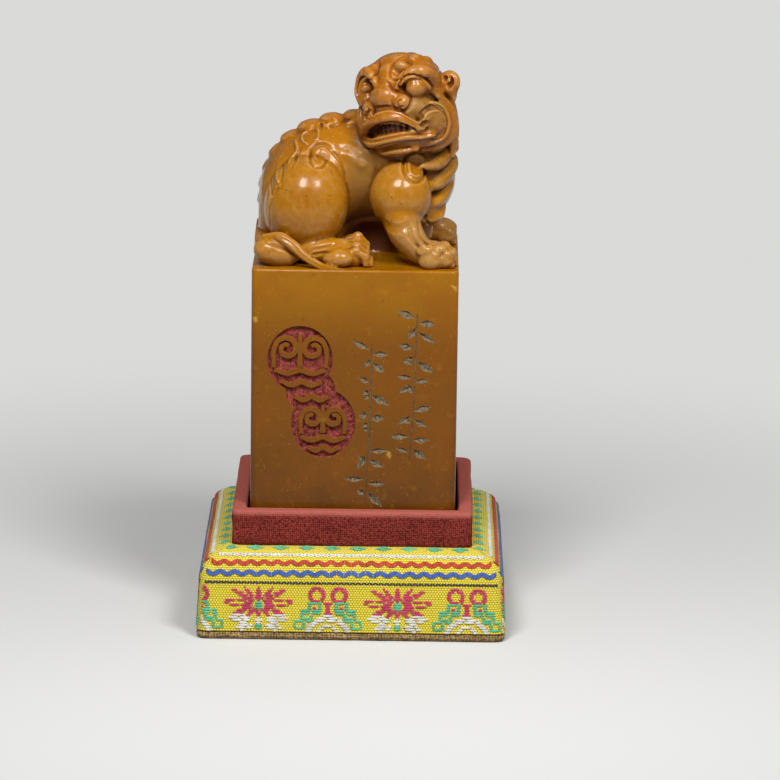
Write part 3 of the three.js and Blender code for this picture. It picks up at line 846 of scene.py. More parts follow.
def incise(mesh, strokes):
    """Draws on a mesh: each stroke is (sight, points, width, depth), and a negative depth raises a ridge.
    A sight is the frame that flat points are drawn in, looking along its Y. Without one, the points
    are places in space, laid on the nearest surface."""
    bm = bmesh.new()
    bm.from_mesh(mesh)
    tree = BVHTree.FromBMesh(bm)
    bm.free()
    places = numbers_of(mesh.vertices, "co")
    moved = np.zeros(len(places))
    for sight, points, width, depth in strokes:
        laid = []
        for point in smooth_line([(*point, 0) if sight else point for point in points], 8):
            if sight:
                start, end = (sight @ Vector((point.x, away, point.y)) for away in (-60, 60))
                place = tree.ray_cast(start, (end - start).normalized())[0]
            else:
                place = tree.find_nearest(point)[0]
            if place:
                laid.append(np.array(place))
        if len(laid) < 2:
            continue
        steps = [laid[0]]
        for start, end in zip(laid, laid[1:]):
            length = np.linalg.norm(end - start)
            pieces = max(1, int(length / (0.4 * width)))
            if length < 4:
                steps += [start + (end - start) * (step + 1) / pieces for step in range(pieces)]
        line = np.array(steps)
        order = np.arange(len(line))
        taper = np.minimum(1, 0.3 + np.minimum(order, order[::-1]) / (0.15 * len(line) + 1))
        beside = np.all((places > line.min(0) - width) & (places < line.max(0) + width), axis=1)
        near = np.where(beside)[0]
        if not len(near):
            continue
        away = np.linalg.norm(places[near, None] - line[None], axis=2)
        nearest = away.argmin(1)
        share = np.clip(away[np.arange(len(near)), nearest] / width, 0, 1)
        moved[near] -= depth * taper[nearest] * (1 - share ** 2) ** 2
    pushed(mesh, moved)


def ring_of(centre, radii, start, turn):
    """Points on part of an ellipse. Start and turn are in degrees."""
    (x, y), (wide, high) = centre, radii
    angles = [math.radians(start + turn * step / 10) for step in range(11)]
    return [(x + wide * math.cos(angle), y + high * math.sin(angle)) for angle in angles]


# The middle and radii of the near haunch, of the near shoulder, and of the hollows under the belly.
HAUNCH = ((-11.0, 11.2, 12.0), (9.2, 8.4, 10.9))
SHOULDER = ((9.6, 12.2, 14.6), (6.8, 6.6, 7.4))
BELLY_HOLLOWS = (((3.4, -10.4, 2.6), (7.2, 9.4, 6.2)), ((2.6, 13.4, 3.0), (6.2, 8.0, 6.4)))
# Place along the body, middle height, half height and half width of the trunk, from rump to breast.
TRUNK = (
    (-21.6, 9.3, 5.8, 7.5), (-20.4, 10.4, 8.8, 10.6), (-17.2, 11.6, 12.4, 12.6), (-12.6, 13.2, 13.8, 13.2),
    (-6.4, 16.2, 12.9, 11.6), (0.0, 18.4, 11.6, 9.7), (6.0, 19.4, 12.2, 9.8), (12.0, 18.6, 12.8, 10.8),
    (16.6, 17.8, 10.6, 9.6), (19.4, 17.4, 6.4, 6.6),
)

masses = bmesh.new()
middles = smooth_line([(x, 0, z) for x, z, _, _ in TRUNK], 4)
girths = smooth_line([(high, wide, 0) for _, _, high, wide in TRUNK], 4)
loops = []
for middle, girth in zip(middles, girths):
    section = placed(middle, (1, girth.y, girth.x)) @ Matrix.Rotation(math.pi / 2, 4, "Y")
    loops.append(bmesh.ops.create_circle(masses, segments=48, radius=1, matrix=section)["verts"])
tube(masses, loops)
egg(masses, (12.4, -1.0, 17.6), (9.2, 9.6, 10.6), (0, -8, 0))
limb(masses, [(8.6, 1, 20), (10.8, -1, 27), (12, -2, 33)], [11.6, 10.9, 9.4], sides=40)
egg(masses, (3, 0, 5), (14, 5, 9))
trunk = fused(mesh_of(masses), 2 * VOXEL, 6)

hollows = bmesh.new()
for middle, radii in BELLY_HOLLOWS:
    egg(hollows, middle, radii)
trunk = cut_out(trunk, hollows)

limbs = bmesh.new()
for side, out, knee, paw in ((-1, 16.8, 10.8, 16.4), (1, 10.6, 12.4, 18.2)):
    (x, y, z), radii = HAUNCH
    egg(limbs, (x, side * y, z), radii, (0, 8, 0))
    limb(limbs, [(-13.5, side * 13.5, 3.6), (-8, side * 16.2, 3.0), (-3, side * 16.8, 3.0)], [3.4, 3.0, 3.0])
    (x, y, z), radii = SHOULDER
    egg(limbs, (x, side * y, z), radii)
    leg = [(9, side * (out - 3.4), 12.6), (knee, side * (out - 0.8), 7.4), (paw - 2.6, side * out, 3.4)]
    limb(limbs, leg, [4.7, 3.9, 3.1])
    egg(limbs, (paw, side * out, 2.7), (4.4, 4.0, 3.0))
egg(limbs, (14.0, -4.0, 11.4), (5.2, 8.6, 5.4))
BREAST_FOLDS = ((12.6, 18.9, 1.2), (16.0, 20.3, 1.4), (20.0, 21.0, 1.5), (24.4, 21.2, 1.5), (28.4, 20.6, 1.4))
for height, front, girth in BREAST_FOLDS:
    fold = [(14.2, -12.0, height - 3.4), (17.8, -9.2, height - 3.0), (front - 0.2, -3.0, height)]
    fold += [(19.0, 5.0, height + 1.0), (13.0, 9.0, height)]
    limb(limbs, fold, [0.5 * girth, girth, girth, girth, 0.6 * girth])
limb(limbs, [(-19, 9, 5), (-21, 2, 4.2), (-21, -8, 3.8), (-19.8, -15.5, 3.4)], [2.6, 2.2, 2.0, 2.0])
egg(limbs, (-17.2, -18.0, 2.9), (5.2, 2.9, 3.2), (0, 12, 8))
body = fused(together(trunk, mesh_of(limbs)), 1.2 * VOXEL, 7)

features = bmesh.new()
for side in (-1, 1):
    egg(features, (-3.7, side * 19.2, 2.0), (3.6, 2.7, 2.3), (0, -6, 0))
    egg(features, (-0.6, side * 16.6, 2.0), (2.9, 3.6, 2.7))
    for toe in range(4):
        y, rise = side * (19.3 - 1.9 * toe), 0.75 * toe
        root, knuckle = (-2.6, y, 2.6 + rise), (-0.2 + 0.1 * toe, y, 3.3 + rise)
        limb(features, [root, knuckle, (1.7, y, 2.5 + 0.8 * rise), (2.3, y, 0.8)], [0.9, 1.0, 0.95, 0.85])
        egg(features, (0.1 + 0.1 * toe, y, 3.7 + rise), (1.2, 0.95, 0.9))
        egg(features, (2.0, y, 2.3 + 0.7 * rise), (1.15, 0.95, 1.2))
        egg(features, (3.1, y, 0.8), (0.8, 0.5, 0.9))
near_toes = ((15.8, -20.1, 1.16), (18.7, -19.4, 0.98), (19.6, -17.2, 0.96), (19.8, -15.0, 0.9))
far_toes = ((17.8, 13.4, 1.05), (19.4, 11.4, 0.94), (19.8, 9.4, 0.92), (19.2, 7.4, 0.9))
for x, y, size in near_toes + far_toes:
    egg(features, (x + 0.4, y, 1.8), (2.2 * size, 1.35 * size, 1.8 * size))
    egg(features, (x - 0.6, y + 0.2, 4.0), (1.8 * size, 1.2 * size, 1.4 * size))
    egg(features, (x + 1.2, y, 3.0), (1.2 * size, 1.05 * size, 1.1 * size))
    egg(features, (x + 2.1, y, 0.8), (0.9, 0.5, 0.8))
# The notches between the lobes of the backbone, from the neck to the tail.
NOTCHES = (
    (2.6, 30.6), (-3.0, 30.1), (-8.3, 29.1), (-13.1, 26.9), (-16.9, 24.0), (-19.3, 20.6), (-20.6, 17.2),
    (-21.2, 13.6), (-21.4, 10.2),
)
notches = [Vector((x, 0, z)) for x, z in NOTCHES]
for start, end in zip(notches, notches[1:]):
    heading, length = (end - start).normalized(), (end - start).length
    out = Vector((heading.z, 0, -heading.x))
    lean = math.degrees(math.atan2(heading.z, -heading.x))
    rise = min(1.0, length / 5)
    middle, ridge = (start + end) / 2, end - 0.30 * length * heading
    egg(features, middle - 0.3 * out, (0.56 * length, 3.4 * rise, 1.5 * rise), (0, lean + 9, 0))
    egg(features, ridge - 0.1 * out, (0.30 * length, 2.6 * rise, 1.35 * rise), (0, lean + 16, 0))
    for side in (-1, 1):
        root = middle + Vector((0, side * 2.6 * rise, 0)) - 0.8 * out
        tip = root + 0.34 * length * heading + Vector((0, side * 1.5, 0)) - 0.5 * out
        limb(features, [root - 0.5 * heading, tip], [1.3 * rise, 0.6])
tail_band = [(-19.8, -17.6, 6.2), (-16.4, -18.9, 6.3), (-13.2, -20.2, 4.4), (-10.4, -21.0, 2.2)]
tail_band += [(-6.4, -21.7, 0.2), (-2, -22, -0.4)]
limb(features, tail_band, [0.7, 1.3, 1.3, 1.0, 0.8, 0.5])

# The head looks back over the near shoulder. It is carved in its own frame: X runs out through
# the nose, Y to the viewer's right and Z up through the crown.
head_turn = Euler((math.radians(8), 0, math.radians(-120))).to_matrix().to_4x4()
HEAD = Matrix.Translation((10.5, -5, 35)) @ head_turn
FACE = HEAD @ Matrix.Translation((0, 0.9, 0))
masses = bmesh.new()
for middle, radii in (
    ((-1.0, -0.9, 0.6), (8.6, 9.2, 9.3)),
    ((1.8, -1.0, 6.0), (5.4, 6.6, 4.4)),
    ((4.6, 0, -1.4), (5.9, 7.7, 4.6)),
    ((6.0, 0, 4.0), (3.8, 3.4, 3.2)),
    ((3.8, 0, -7.6), (5.9, 7.3, 4.1)),
    ((7.8, -0.9, 1.3), (3.6, 4.0, 3.6)),
    ((5.2, -0.7, 5.6), (3.3, 3.6, 3.3)),
):
    egg(masses, middle, radii)
for side in (-1, 1):
    egg(masses, (3.2, side * 5.4, 4.6), (4.3, 3.9, 4.0))
    egg(masses, (2.4, side * 7.2, -4.8), (4.0, 3.0, 3.6))
skull = fused(mesh_of(masses), 1.2 * VOXEL, 7)

hollows = bmesh.new()
for side in (-1, 1):
    egg(hollows, (8.1, side * 6.1, 3.2), (2.3, 2.9, 2.7))
skull = cut_out(skull, hollows)

# Curls on the crown and the nape, bosses over the nose, the eyes, a lid, the nostrils and a cheek knob.
NOSTRILS = ((8.7, 3.5, 0.1), (9.1, -4.8, -0.9))
face = bmesh.new()
for middle, radii, turn in (
    ((3.0, 4.4, 8.7), (1.9, 1.7, 1.2), (-30, 10, 0)),
    ((1.2, 6.0, 7.9), (1.7, 1.5, 1.2), (-38, -10, 0)),
    ((-4.6, -0.9, 7.9), (2.6, 2.2, 1.5), (0, -32, 0)),
    ((-7.6, -0.9, 5.2), (2.4, 2.4, 1.6), (0, -58, 0)),
    ((5.9, 2.5, 7.0), (1.3, 2.0, 2.3), (0, 40, 0)),
    ((5.5, -4.4, 6.9), (1.5, 1.6, 1.9), (0, 40, 0)),
    ((6.1, 5.6, 3.0), (2.5, 2.3, 2.45), (0, 0, 0)),
    ((6.1, -7.0, 3.4), (1.7, 1.6, 1.3), (0, 0, 0)),
    ((5.6, -6.9, 1.0), (2.1, 1.9, 1.7), (0, 0, 0)),
    ((1.0, 8.2, 1.8), (2.0, 1.6, 2.2), (0, 0, 0)),
):
    egg(face, middle, radii, turn)
for nostril in NOSTRILS:
    egg(face, nostril, (1.8, 1.7, 1.85))

# The brows, the upper lip, the lower lip, the chin's ridge and the folds of the jowls.
upper_lip = [(7.4, -8.0, -6.0), (9.4, -6.0, -4.6), (10.4, -3.3, -3.5), (10.5, 0.2, -2.9), (9.9, 2.9, -3.3)]
upper_lip += [(8.9, 4.8, -4.6), (7.8, 6.3, -5.6), (6.6, 7.0, -4.6), (5.6, 7.8, -3.6), (4.0, 8.4, -3.7)]
upper_lip += [(3.2, 8.5, -5.4), (4.2, 7.9, -7.0)]
lower_lip = [(6.4, -8.6, -7.4), (8.2, -6.0, -8.6), (9.4, -3.0, -8.2), (9.7, 0.4, -7.6), (8.7, 3.8, -7.3)]
lower_lip += [(6.8, 6.2, -7.6), (5.2, 7.8, -7.6)]
chin = [(6.4, -5.4, -10.4), (7.6, -2.4, -10.6), (7.8, 1.0, -10.3), (6.8, 4.2, -10.2)]
brows = (
    ((9.2, 2.6, 3.4), (8.6, 3.8, 5.2), (7.7, 5.9, 6.4), (5.9, 7.8, 6.2), (3.0, 8.3, 4.2), (2.6, 8.0, 1.6)),
    ((9.2, -2.4, 3.8), (8.4, -3.8, 5.8), (7, -5.9, 6.9), (6, -7.7, 5.2), (6.2, -8.4, 2.4), (6.8, -8.1, 0.2)),
)
jowls = (
    ((4.6, 8, -0.9), (2.4, 9.2, -2.4), (1.4, 9.5, -5.6), (2.2, 8.4, -8.4), (4.4, 6, -9.4), (6, 3.4, -9.8)),
    ((2.6, 8.6, 0.7), (0.4, 9.7, -2), (-0.8, 9.9, -5.8), (0, 8.9, -9), (2, 6.6, -10.6), (4, 3, -11.2)),
    ((4.4, -9.2, 0.2), (5.4, -9.6, -3.2), (5.8, -8.6, -6.6), (6, -6.8, -9.2), (6.2, -4.2, -10.8)),
    ((1.8, -10, 0), (2.6, -10.2, -4.4), (3.4, -8.4, -8.8), (3.8, -5.8, -11.2)),
)
for points in brows:
    limb(face, points, [0.6, 1.1, 1.4, 1.6, 1.6, 1.0])
limb(face, upper_lip, [1.2, 1.3, 1.4, 1.5, 1.4, 1.3, 1.1, 1.0, 1.0, 1.0, 1.0, 0.9])
limb(face, lower_lip, [1.0, 1.2, 1.3, 1.3, 1.2, 1.1, 0.9])
limb(face, chin, [0.9, 1.3, 1.4, 0.9])
for points in jowls:
    limb(face, points, [0.7, 1.1, 1.2, 1.1, 0.7])
for side, back, out in ((1, 0.2, 10.7), (-1, -3.6, -9.6)):
    limb(face, [(back - 0.6, 0.68 * out, 3.0), (back - 0.9, 0.88 * out, 3.0)], [2.3, 1.7])
    egg(face, (back, out, 3.1), (1.5, 2.6, 2.7), (-side * 24, 0, 0))
    limb(face, [(back + 0.1, out + side * 0.2, 1.8), (back + 0.4, out + side * 1.0, -1.2)], [1.7, 0.3])
for side in (-1, 1):
    for lock in range(4):
        back, root, tip = 1.9 * lock, side * (8.4 - 1.5 * lock), side * (7.6 - 1.5 * lock)
        hair = [(-2.6 - back, root - side * 0.6, 2.0), (-3.0 - back, root, -3.2), (-3.2 - back, root, -8.0)]
        limb(face, [*hair, (-2.8 - back, tip, -13.4)], [1.0, 1.3, 1.3, 0.6])
head = fused(together(skull, mesh_of(face)), VOXEL, 4)

MOUTH = (
    (8.0, -6.6, -6.9), (9.7, -4.5, -5.9), (11.0, -1.2, -5.1), (11.0, 2.0, -4.9), (9.7, 4.6, -5.4),
    (8.3, 6.3, -6.2),
)
hollows = bmesh.new()
limb(hollows, MOUTH, [0.3, 1.0, 1.45, 1.4, 0.9, 0.3])
limb(hollows, [(x - 2.0, 0.86 * y, z) for x, y, z in MOUTH], [0.3, 1.1, 1.5, 1.5, 1.1, 0.3])
egg(hollows, (1.9, 11.5, 3.2), (1.5, 0.9, 1.5), (-16, 0, 0))
egg(hollows, (1.9, 10.6, 3.9), (1.4, 1.2, 0.7), (-30, 0, 0))
egg(hollows, (-1.9, -10.2, 3.1), (1.5, 0.9, 1.4))
egg(hollows, (7.4, 7.8, -5.0), (1.1, 1.5, 0.9), (0, 0, 30))
head = cut_out(head, hollows)
teeth = bmesh.new()
for tooth in range(8):
    across = -4.5 + 1.25 * tooth
    place = (8.9 - 0.08 * (across - 0.4) ** 2, across, -5.2 - 0.05 * (across - 1.5) ** 2)
    egg(teeth, place, (0.8, 0.48, 1.5))
head = together(head, mesh_of(teeth))
head.transform(FACE)

beast = fused(together(body, mesh_of(features), head), VOXEL, 2)

# Lines are drawn on the near flank and again on the far one, and on the face from its front.
NEAR = Matrix.Identity(4)
FAR = Matrix.Diagonal((1, -1, 1, 1))
FRONT = FACE @ Matrix(((0, -1, 0, 0), (1, 0, 0, 0), (0, 0, 1, 0), (0, 0, 0, 1)))
BACK = FACE @ Matrix(((0, 1, 0, 0), (-1, 0, 0, 0), (0, 0, 1, 0), (0, 0, 0, 1)))
flank_lines = [
    ([(-6.0, 24.2), (-4.4, 22.6), (-3.2, 20.6), (-2.4, 18.2)], 0.6, 0.3),
    ([(-5.5, 24.4), (-7.0, 25.2), (-8.8, 25.2), (-10.0, 24.2), (-10.2, 22.6), (-9.2, 21.4), (-7.5, 21.2),
      (-6.6, 22.0)], 0.55, 0.45),
    ([(-6.2, 23.6), (-7.6, 24.4), (-8.8, 23.8), (-9.2, 22.8), (-8.4, 22.2)], 0.5, -0.2),
    ([(-3.2, 23.8), (-0.6, 22.0), (2.2, 20.2)], 1.6, -0.45),
    ([(-3.6, 25.6), (-1.0, 24.4), (1.2, 22.6)], 1.4, -0.3),
    ([(-18.9, 17.9), (-18.5, 14.7), (-19.0, 11.4), (-18.7, 7.4)], 0.55, 0.5),
    (ring_of((-7.8, 28.0), (0.9, 0.8), 30, 230), 0.55, -0.4),
    (ring_of((-9.3, 26.7), (0.8, 0.9), 100, -210), 0.5, -0.35),
    (ring_of((-11.2, 26.0), (0.9, 0.9), 60, 240), 0.55, -0.4),
    (ring_of((-5.9, 28.4), (0.7, 0.6), 40, 220), 0.5, -0.35),
    ([(-13.6, 25.5), (-13.0, 23.7), (-14.0, 22.4), (-15.0, 21.2)], 0.75, -0.5),
    ([(-12.2, 24.4), (-13.2, 22.6), (-14.4, 20.6)], 0.5, 0.35),
    ([(-17.1, 20.6), (-17.3, 18.8), (-16.7, 17.4), (-17.6, 16.8)], 0.6, -0.4),
    ([(-16.2, 21.0), (-16.4, 18.6), (-17.8, 15.2)], 0.5, 0.35),
    ([(15.4, 22.2), (14.3, 23.4), (12.8, 23.9), (11.1, 23.3), (10.1, 22.0), (10.4, 20.3), (11.7, 18.9),
      (13.5, 18.5), (14.8, 19.3), (14.5, 20.5), (13.3, 20.6)], 0.6, 0.45),
    ([(11.3, 21.9), (11.6, 20.4), (12.8, 19.6), (13.7, 19.8)], 0.6, -0.35),
    ([(5.4, 9.4), (8.9, 8.8), (12.4, 9.8)], 1.5, 0.35),
    ([(11.6, 9.2), (12.4, 6.5), (14.2, 4.4)], 0.9, 0.4),
    ([(13.5, 10.0), (14.2, 7.2), (15.8, 5.2)], 0.8, 0.4),
    ([(15.0, 10.6), (15.6, 8.3), (16.9, 6.2)], 0.7, 0.4),
    ([(-9.4, 3.6), (-7.2, 4.3), (-4.6, 5.0)], 0.55, 0.4),
    ([(-9.4, 2.5), (-7.4, 3.1), (-5.2, 3.7)], 0.55, 0.4),
]
strokes = [(sight, *line) for sight in (NEAR, FAR) for line in flank_lines]
strokes += [
    (NEAR, [(-19.6, 5.6), (-15.6, 4.0), (-12.2, 1.8), (-9.6, 0.2)], 0.5, 0.3),
    (NEAR, [(-16.6, 6.8), (-13.6, 5.2), (-11.0, 2.6), (-7.0, 0.5)], 0.45, 0.22),
    (FRONT, ring_of((6.0, 3.2), (2.7, 2.7), 205, -240), 0.5, 0.7),
    (FRONT, ring_of((-6.0, 3.2), (2.7, 2.7), -25, 240), 0.5, 0.7),
    (FRONT, [(0.6, 4.9), (1.2, 3.9), (1.9, 3.0), (2.9, 2.4)], 0.5, 0.4),
]
for strand in range(-4, 5):
    nape = [(1.2 * strand, 8.0 - 0.14 * strand ** 2), (2.0 * strand, 4.0), (2.2 * strand + 0.5, -1.0)]
    nape += [(2.1 * strand - 0.5, -6.0), (2.0 * strand + 0.4, -11.0), (1.7 * strand, -15.0)]
    strokes.append((BACK, nape, 0.9, 0.5))
for lash in range(6):
    angle = math.radians(30 + 22 * lash)
    across, up = math.cos(angle), math.sin(angle)
    hair = [(6.0 + 2.6 * across, 3.2 + 2.6 * up), (6.0 + 3.3 * across, 3.2 + 3.2 * up)]
    strokes.append((FRONT, hair, 0.45, 0.3))
strokes.append((FRONT, ring_of((2.5, 7.4), (2.1, 2.3), 90, 300), 0.5, 0.35))
strokes.append((FRONT, ring_of((-4.5, 7.2), (1.7, 1.9), 90, -290), 0.5, 0.35))
for (_, across, up), side in zip(NOSTRILS, (1, -1)):
    strokes.append((FRONT, ring_of((across, up), (1.8, 1.9), 100, -side * 300), 0.5, 0.45))
    strokes.append((FRONT, ring_of((across + side * 0.2, up), (0.8, 0.8), 60, side * 250), 0.4, 0.45))


def on_head(points, lift=0.0):
    """Places in space of points given in the head's own frame."""
    return [FACE @ Vector((x, y, z + lift)) for x, y, z in points]


upper_rim = [(8.2, -7.4, -4.6), (10.2, -5.6, -3.2), (11.3, -3.3, -2.1), (11.1, 0.2, -1.5), (10.5, 2.9, -2.0)]
upper_rim += [(9.6, 4.8, -3.4), (8.3, 6.6, -4.5), (7.0, 7.4, -3.3), (5.8, 8.3, -2.6), (3.9, 9.1, -2.9)]
upper_rim += [(2.9, 9.2, -4.6)]
lower_rim = [(6.6, -8.4, -7.6), (8.4, -6.2, -8.3), (10.2, -3.0, -7.9), (10.6, 0.4, -7.3), (9.4, 3.8, -7.0)]
lower_rim += [(7.4, 6.4, -7.4), (5.6, 8.4, -7.4)]
cheek = [(5.2, 9.2, -0.4), (3.2, 10.2, -2.6), (2.4, 10.4, -5.6), (3.4, 9.2, -8.6), (5.8, 7.0, -9.0)]
strokes += [
    (None, on_head(upper_rim), 0.55, -0.4),
    (None, on_head(upper_rim, 0.9), 0.6, 0.4),
    (None, on_head(lower_rim), 0.55, 0.5),
    (None, on_head(lower_rim, -1.7), 0.6, 0.55),
    (None, on_head([(8.4, -4.0, -10.4), (9.0, 0.0, -9.9), (7.8, 4.2, -9.8)], -0.1), 0.5, 0.45),
    (None, on_head([(8.0, -3.0, -11.4), (8.4, 0.4, -11.1), (7.2, 4.0, -10.9)]), 0.4, 0.35),
    (None, on_head(cheek), 0.4, 0.4),
]
incise(beast, strokes)
beast = carved(beast, "SMOOTH", factor=0.5, iterations=1)

# The rasp leaves the stone a little uneven. The beast keeps within the edges of its block.
TRIM = ((0, 0, 29.5), (44.4, 44.4, 60))
uneven = [
    noise.noise(Vector(place) / 3.4) + 0.5 * noise.noise(Vector(place) / 1.3)
    for place in numbers_of(beast.vertices, "co")
]
pushed(beast, 0.06 * np.array(uneven))
beast = carved(beast, "DECIMATE", ratio=min(1.0, BEAST_FACES / (2 * len(beast.polygons))))
beast = combined(beast, mesh_of(slab(*TRIM)), "INTERSECT")

# Seal stone: the block
# The block below the beast is sawn square and polished, with its edges just taken off. A gourd
# shape is sunk into its front and painted red, with a cloud scroll left standing in it.
CORNER_SOFT = 1.3
EDGE_SOFT = 0.55
FACE_STRIP = 0.25
SUNK = 0.8
# Middle and radii of each lobe of the gourd, then middle, height and reach of each wave of the cloud.
LOBES_OF_GOURD = ((-11.8, -19.9, 7.1, 7.4), (-9.4, -27.0, 5.4, 5.2), (-6.6, -34.1, 7.0, 7.7))
WAVES = ((-11.8, -22.7, 5.6), (-11.4, -25.3, 4.4), (-9.2, -28.6, 3.7), (-6.7, -37.6, 4.9), (-6.6, -39.9, 3.4))
SCROLL_TURNS = 1.35
SCROLL_STEPS = 12
STROKE_START = -1.0

bm = slab((0, 0, -BLOCK_HEIGHT / 2), (2 * BLOCK_HALF, 2 * BLOCK_HALF, BLOCK_HEIGHT))
for upright, offset, segments in ((True, CORNER_SOFT, 5), (False, EDGE_SOFT, 4)):
    geom = [edge for edge in bm.edges if (abs(edge.verts[0].co.z - edge.verts[1].co.z) > 1) == upright]
    bmesh.ops.bevel(bm, geom=geom, offset=offset, segments=segments, profile=0.5, affect="EDGES", material=-1)
broad = [face for face in bm.faces if face.calc_area() > 900]
bmesh.ops.inset_individual(bm, faces=broad, thickness=FACE_STRIP)
block = mesh_of(bm)


def stroke(points, widths, depth):
    """A flat stroke down to a depth in the block's front, with widths that change along its line."""
    bm = bmesh.new()
    line = smooth_line([(x, 0, z) for x, z in points], 8)
    lowered = Vector((0, -BLOCK_HALF + (STROKE_START + depth) / 2, 0))
    quarter = Matrix.Rotation(math.pi / 2, 4, "Y")
    loops = []
    for middle, heading, girth in zip(line, headings(line), shared_out(widths, len(line))):
        turned = Matrix.Rotation(math.atan2(-heading.z, heading.x), 4, "Y")
        section = Matrix.Diagonal((1, depth - STROKE_START, girth, 1)) @ Matrix.Rotation(math.pi / 4, 4, "X")
        matrix = Matrix.Translation(middle + lowered) @ turned @ section @ quarter
        loops.append(bmesh.ops.create_circle(bm, segments=4, radius=math.sqrt(0.5), matrix=matrix)["verts"])
    tube(bm, loops)
    return bm


def scroll(centre, reach, side):
    """A flat spiral that winds in to its centre."""
    line = []
    for step in range(SCROLL_STEPS + 1):
        angle = step / SCROLL_STEPS * SCROLL_TURNS * 2 * math.pi
        away = reach * (1 - 0.74 * step / SCROLL_STEPS)
        line.append((centre[0] + side * away * math.cos(angle), centre[1] + away * math.sin(angle)))
    return line


sunk = None
for x, z, wide, high in LOBES_OF_GOURD:
    bm = bmesh.new()
    matrix = placed((x, -BLOCK_HALF, z), (wide, 1, high)) @ Matrix.Rotation(math.pi / 2, 4, "X")
    bmesh.ops.create_cone(bm, cap_ends=True, segments=72, radius1=1, radius2=1, depth=2 * SUNK, matrix=matrix)
    lobe = mesh_of(bm)
    sunk = combined(sunk, lobe, "UNION") if sunk else lobe
standing = []
for middle, crown, size in ((-11.8, -17.6, 1.0), (-6.7, -33.0, 0.84)):
    for side in (-1, 1):
        foot = [(middle + side * out * size, crown - down * size) for out, down in ((5.6, 4.2), (5.8, 1.8))]
        curled = scroll((middle + side * 2.9 * size, crown), 2.75 * size, side)
        standing.append((foot + curled, [0.8, 1.1, 1.2, 1.1, 1.0, 0.8]))
    standing.append(([(middle, crown + 3.4 * size), (middle, crown - 4.0 * size)], [0.7, 1.2]))
for middle, height, reach in WAVES:
    shares = (-1, -0.5, 0, 0.5, 1)
    wave = [(middle + reach * share, height + 0.4 * math.cos(2 * share * math.pi)) for share in shares]
    standing.append((wave, [0.8, 1.2, 1.2, 0.8]))
for points, widths in standing:
    sunk = cut_out(sunk, stroke(points, widths, 2.0))
block = combined(block, sunk, "DIFFERENCE")

# Seal stone: leaves and printing face
# Two sprigs of bamboo are cut into the front with a flat knife: each leaf is two slanting cuts
# that meet. The underside prints: a square meander left standing in a frame.
LEAF_DEPTH = 0.55
LEAF_LEAST, LEAF_MOST = 0.8, 1.2
# The top and foot of each sprig and its count of joints, then side, tilt, length and width of the leaves.
SPRIGS = (((13.6, -9.6), (12.3, -42.4), 5), ((3.8, -16.4), (2.7, -52.6), 5))
LEAVES = ((-1, 38, 4.3, 1.8), (1, -34, 3.9, 1.6), (-1, -10, 3.4, 1.4), (1, 12, 4.5, 1.8), (-1, 64, 2.8, 1.4))
PRINT_BORDER, PRINT_BAR, PRINT_GAP, PRINT_DEPTH = 2.6, 2.4, 2.9, 1.1

knife = random.Random(5)
cuts = []
for top, foot, joints in SPRIGS:
    bend = ((top[0] + foot[0]) / 2 + 0.3, (top[1] + foot[1]) / 2)
    cuts.append(stroke([top, bend, foot], [0.2, 0.3, 0.22, 0.16], 0.22))
    for joint in range(joints):
        share = (joint + 0.35) / joints
        middle = Vector((top[0] + (foot[0] - top[0]) * share, 0, top[1] + (foot[1] - top[1]) * share))
        for order, (side, tilt, length, width) in enumerate(LEAVES):
            if (joint * 3 + order) % 5 == 4:
                continue
            tilt = math.radians(side * (18 + 9 * ((joint + order) % 3)) + tilt + knife.uniform(-12, 12))
            length *= knife.uniform(LEAF_LEAST, LEAF_MOST)
            width *= knife.uniform(LEAF_LEAST, LEAF_MOST)
            # The leaves beside the gourd are short, so that they keep clear of it.
            if side < 0 and middle.x < 6 and -42 < middle.z - 0.9 * order < -25:
                length *= 0.5
            stem = middle + Vector((side * 0.2, -BLOCK_HALF + LEAF_DEPTH / 2 - 0.04, 1.2 - 0.9 * order))
            blade = placed((side * length / 2, 0, 0), (length / 2, LEAF_DEPTH, width / 2))
            matrix = Matrix.Translation(stem) @ Matrix.Rotation(tilt, 4, "Y") @ blade
            matrix = matrix @ Matrix.Rotation(-math.pi / 2, 4, "X")
            bm = bmesh.new()
            bmesh.ops.create_cone(bm, cap_ends=True, segments=4, radius1=1, radius2=0, depth=1, matrix=matrix)
            keel = max(bm.verts, key=lambda point: point.co.y)
            keel.co.z += 0.3 * width
            keel.co.x -= side * 0.22 * length
            cuts.append(bm)
for bm in cuts:
    block = cut_out(block, bm)

inside = BLOCK_HALF - PRINT_BORDER
bars = round((2 * inside - PRINT_GAP) / (PRINT_BAR + PRINT_GAP))
gap = (2 * inside - bars * PRINT_BAR) / (bars + 1)
recess = mesh_of(slab((0, 0, -BLOCK_HEIGHT), (2 * inside, 2 * inside, 2 * PRINT_DEPTH)))
for bar in range(bars):
    x = -inside + gap + PRINT_BAR / 2 + bar * (PRINT_BAR + gap)
    low, high = (-inside - 1, inside - gap) if bar % 2 == 0 else (-inside + gap, inside + 1)
    raised = slab((x, (low + high) / 2, -BLOCK_HEIGHT), (PRINT_BAR, high - low, 4 * PRINT_DEPTH))
    recess = cut_out(recess, raised)
block = combined(block, recess, "DIFFERENCE")
carving = combined(beast, block, "UNION")
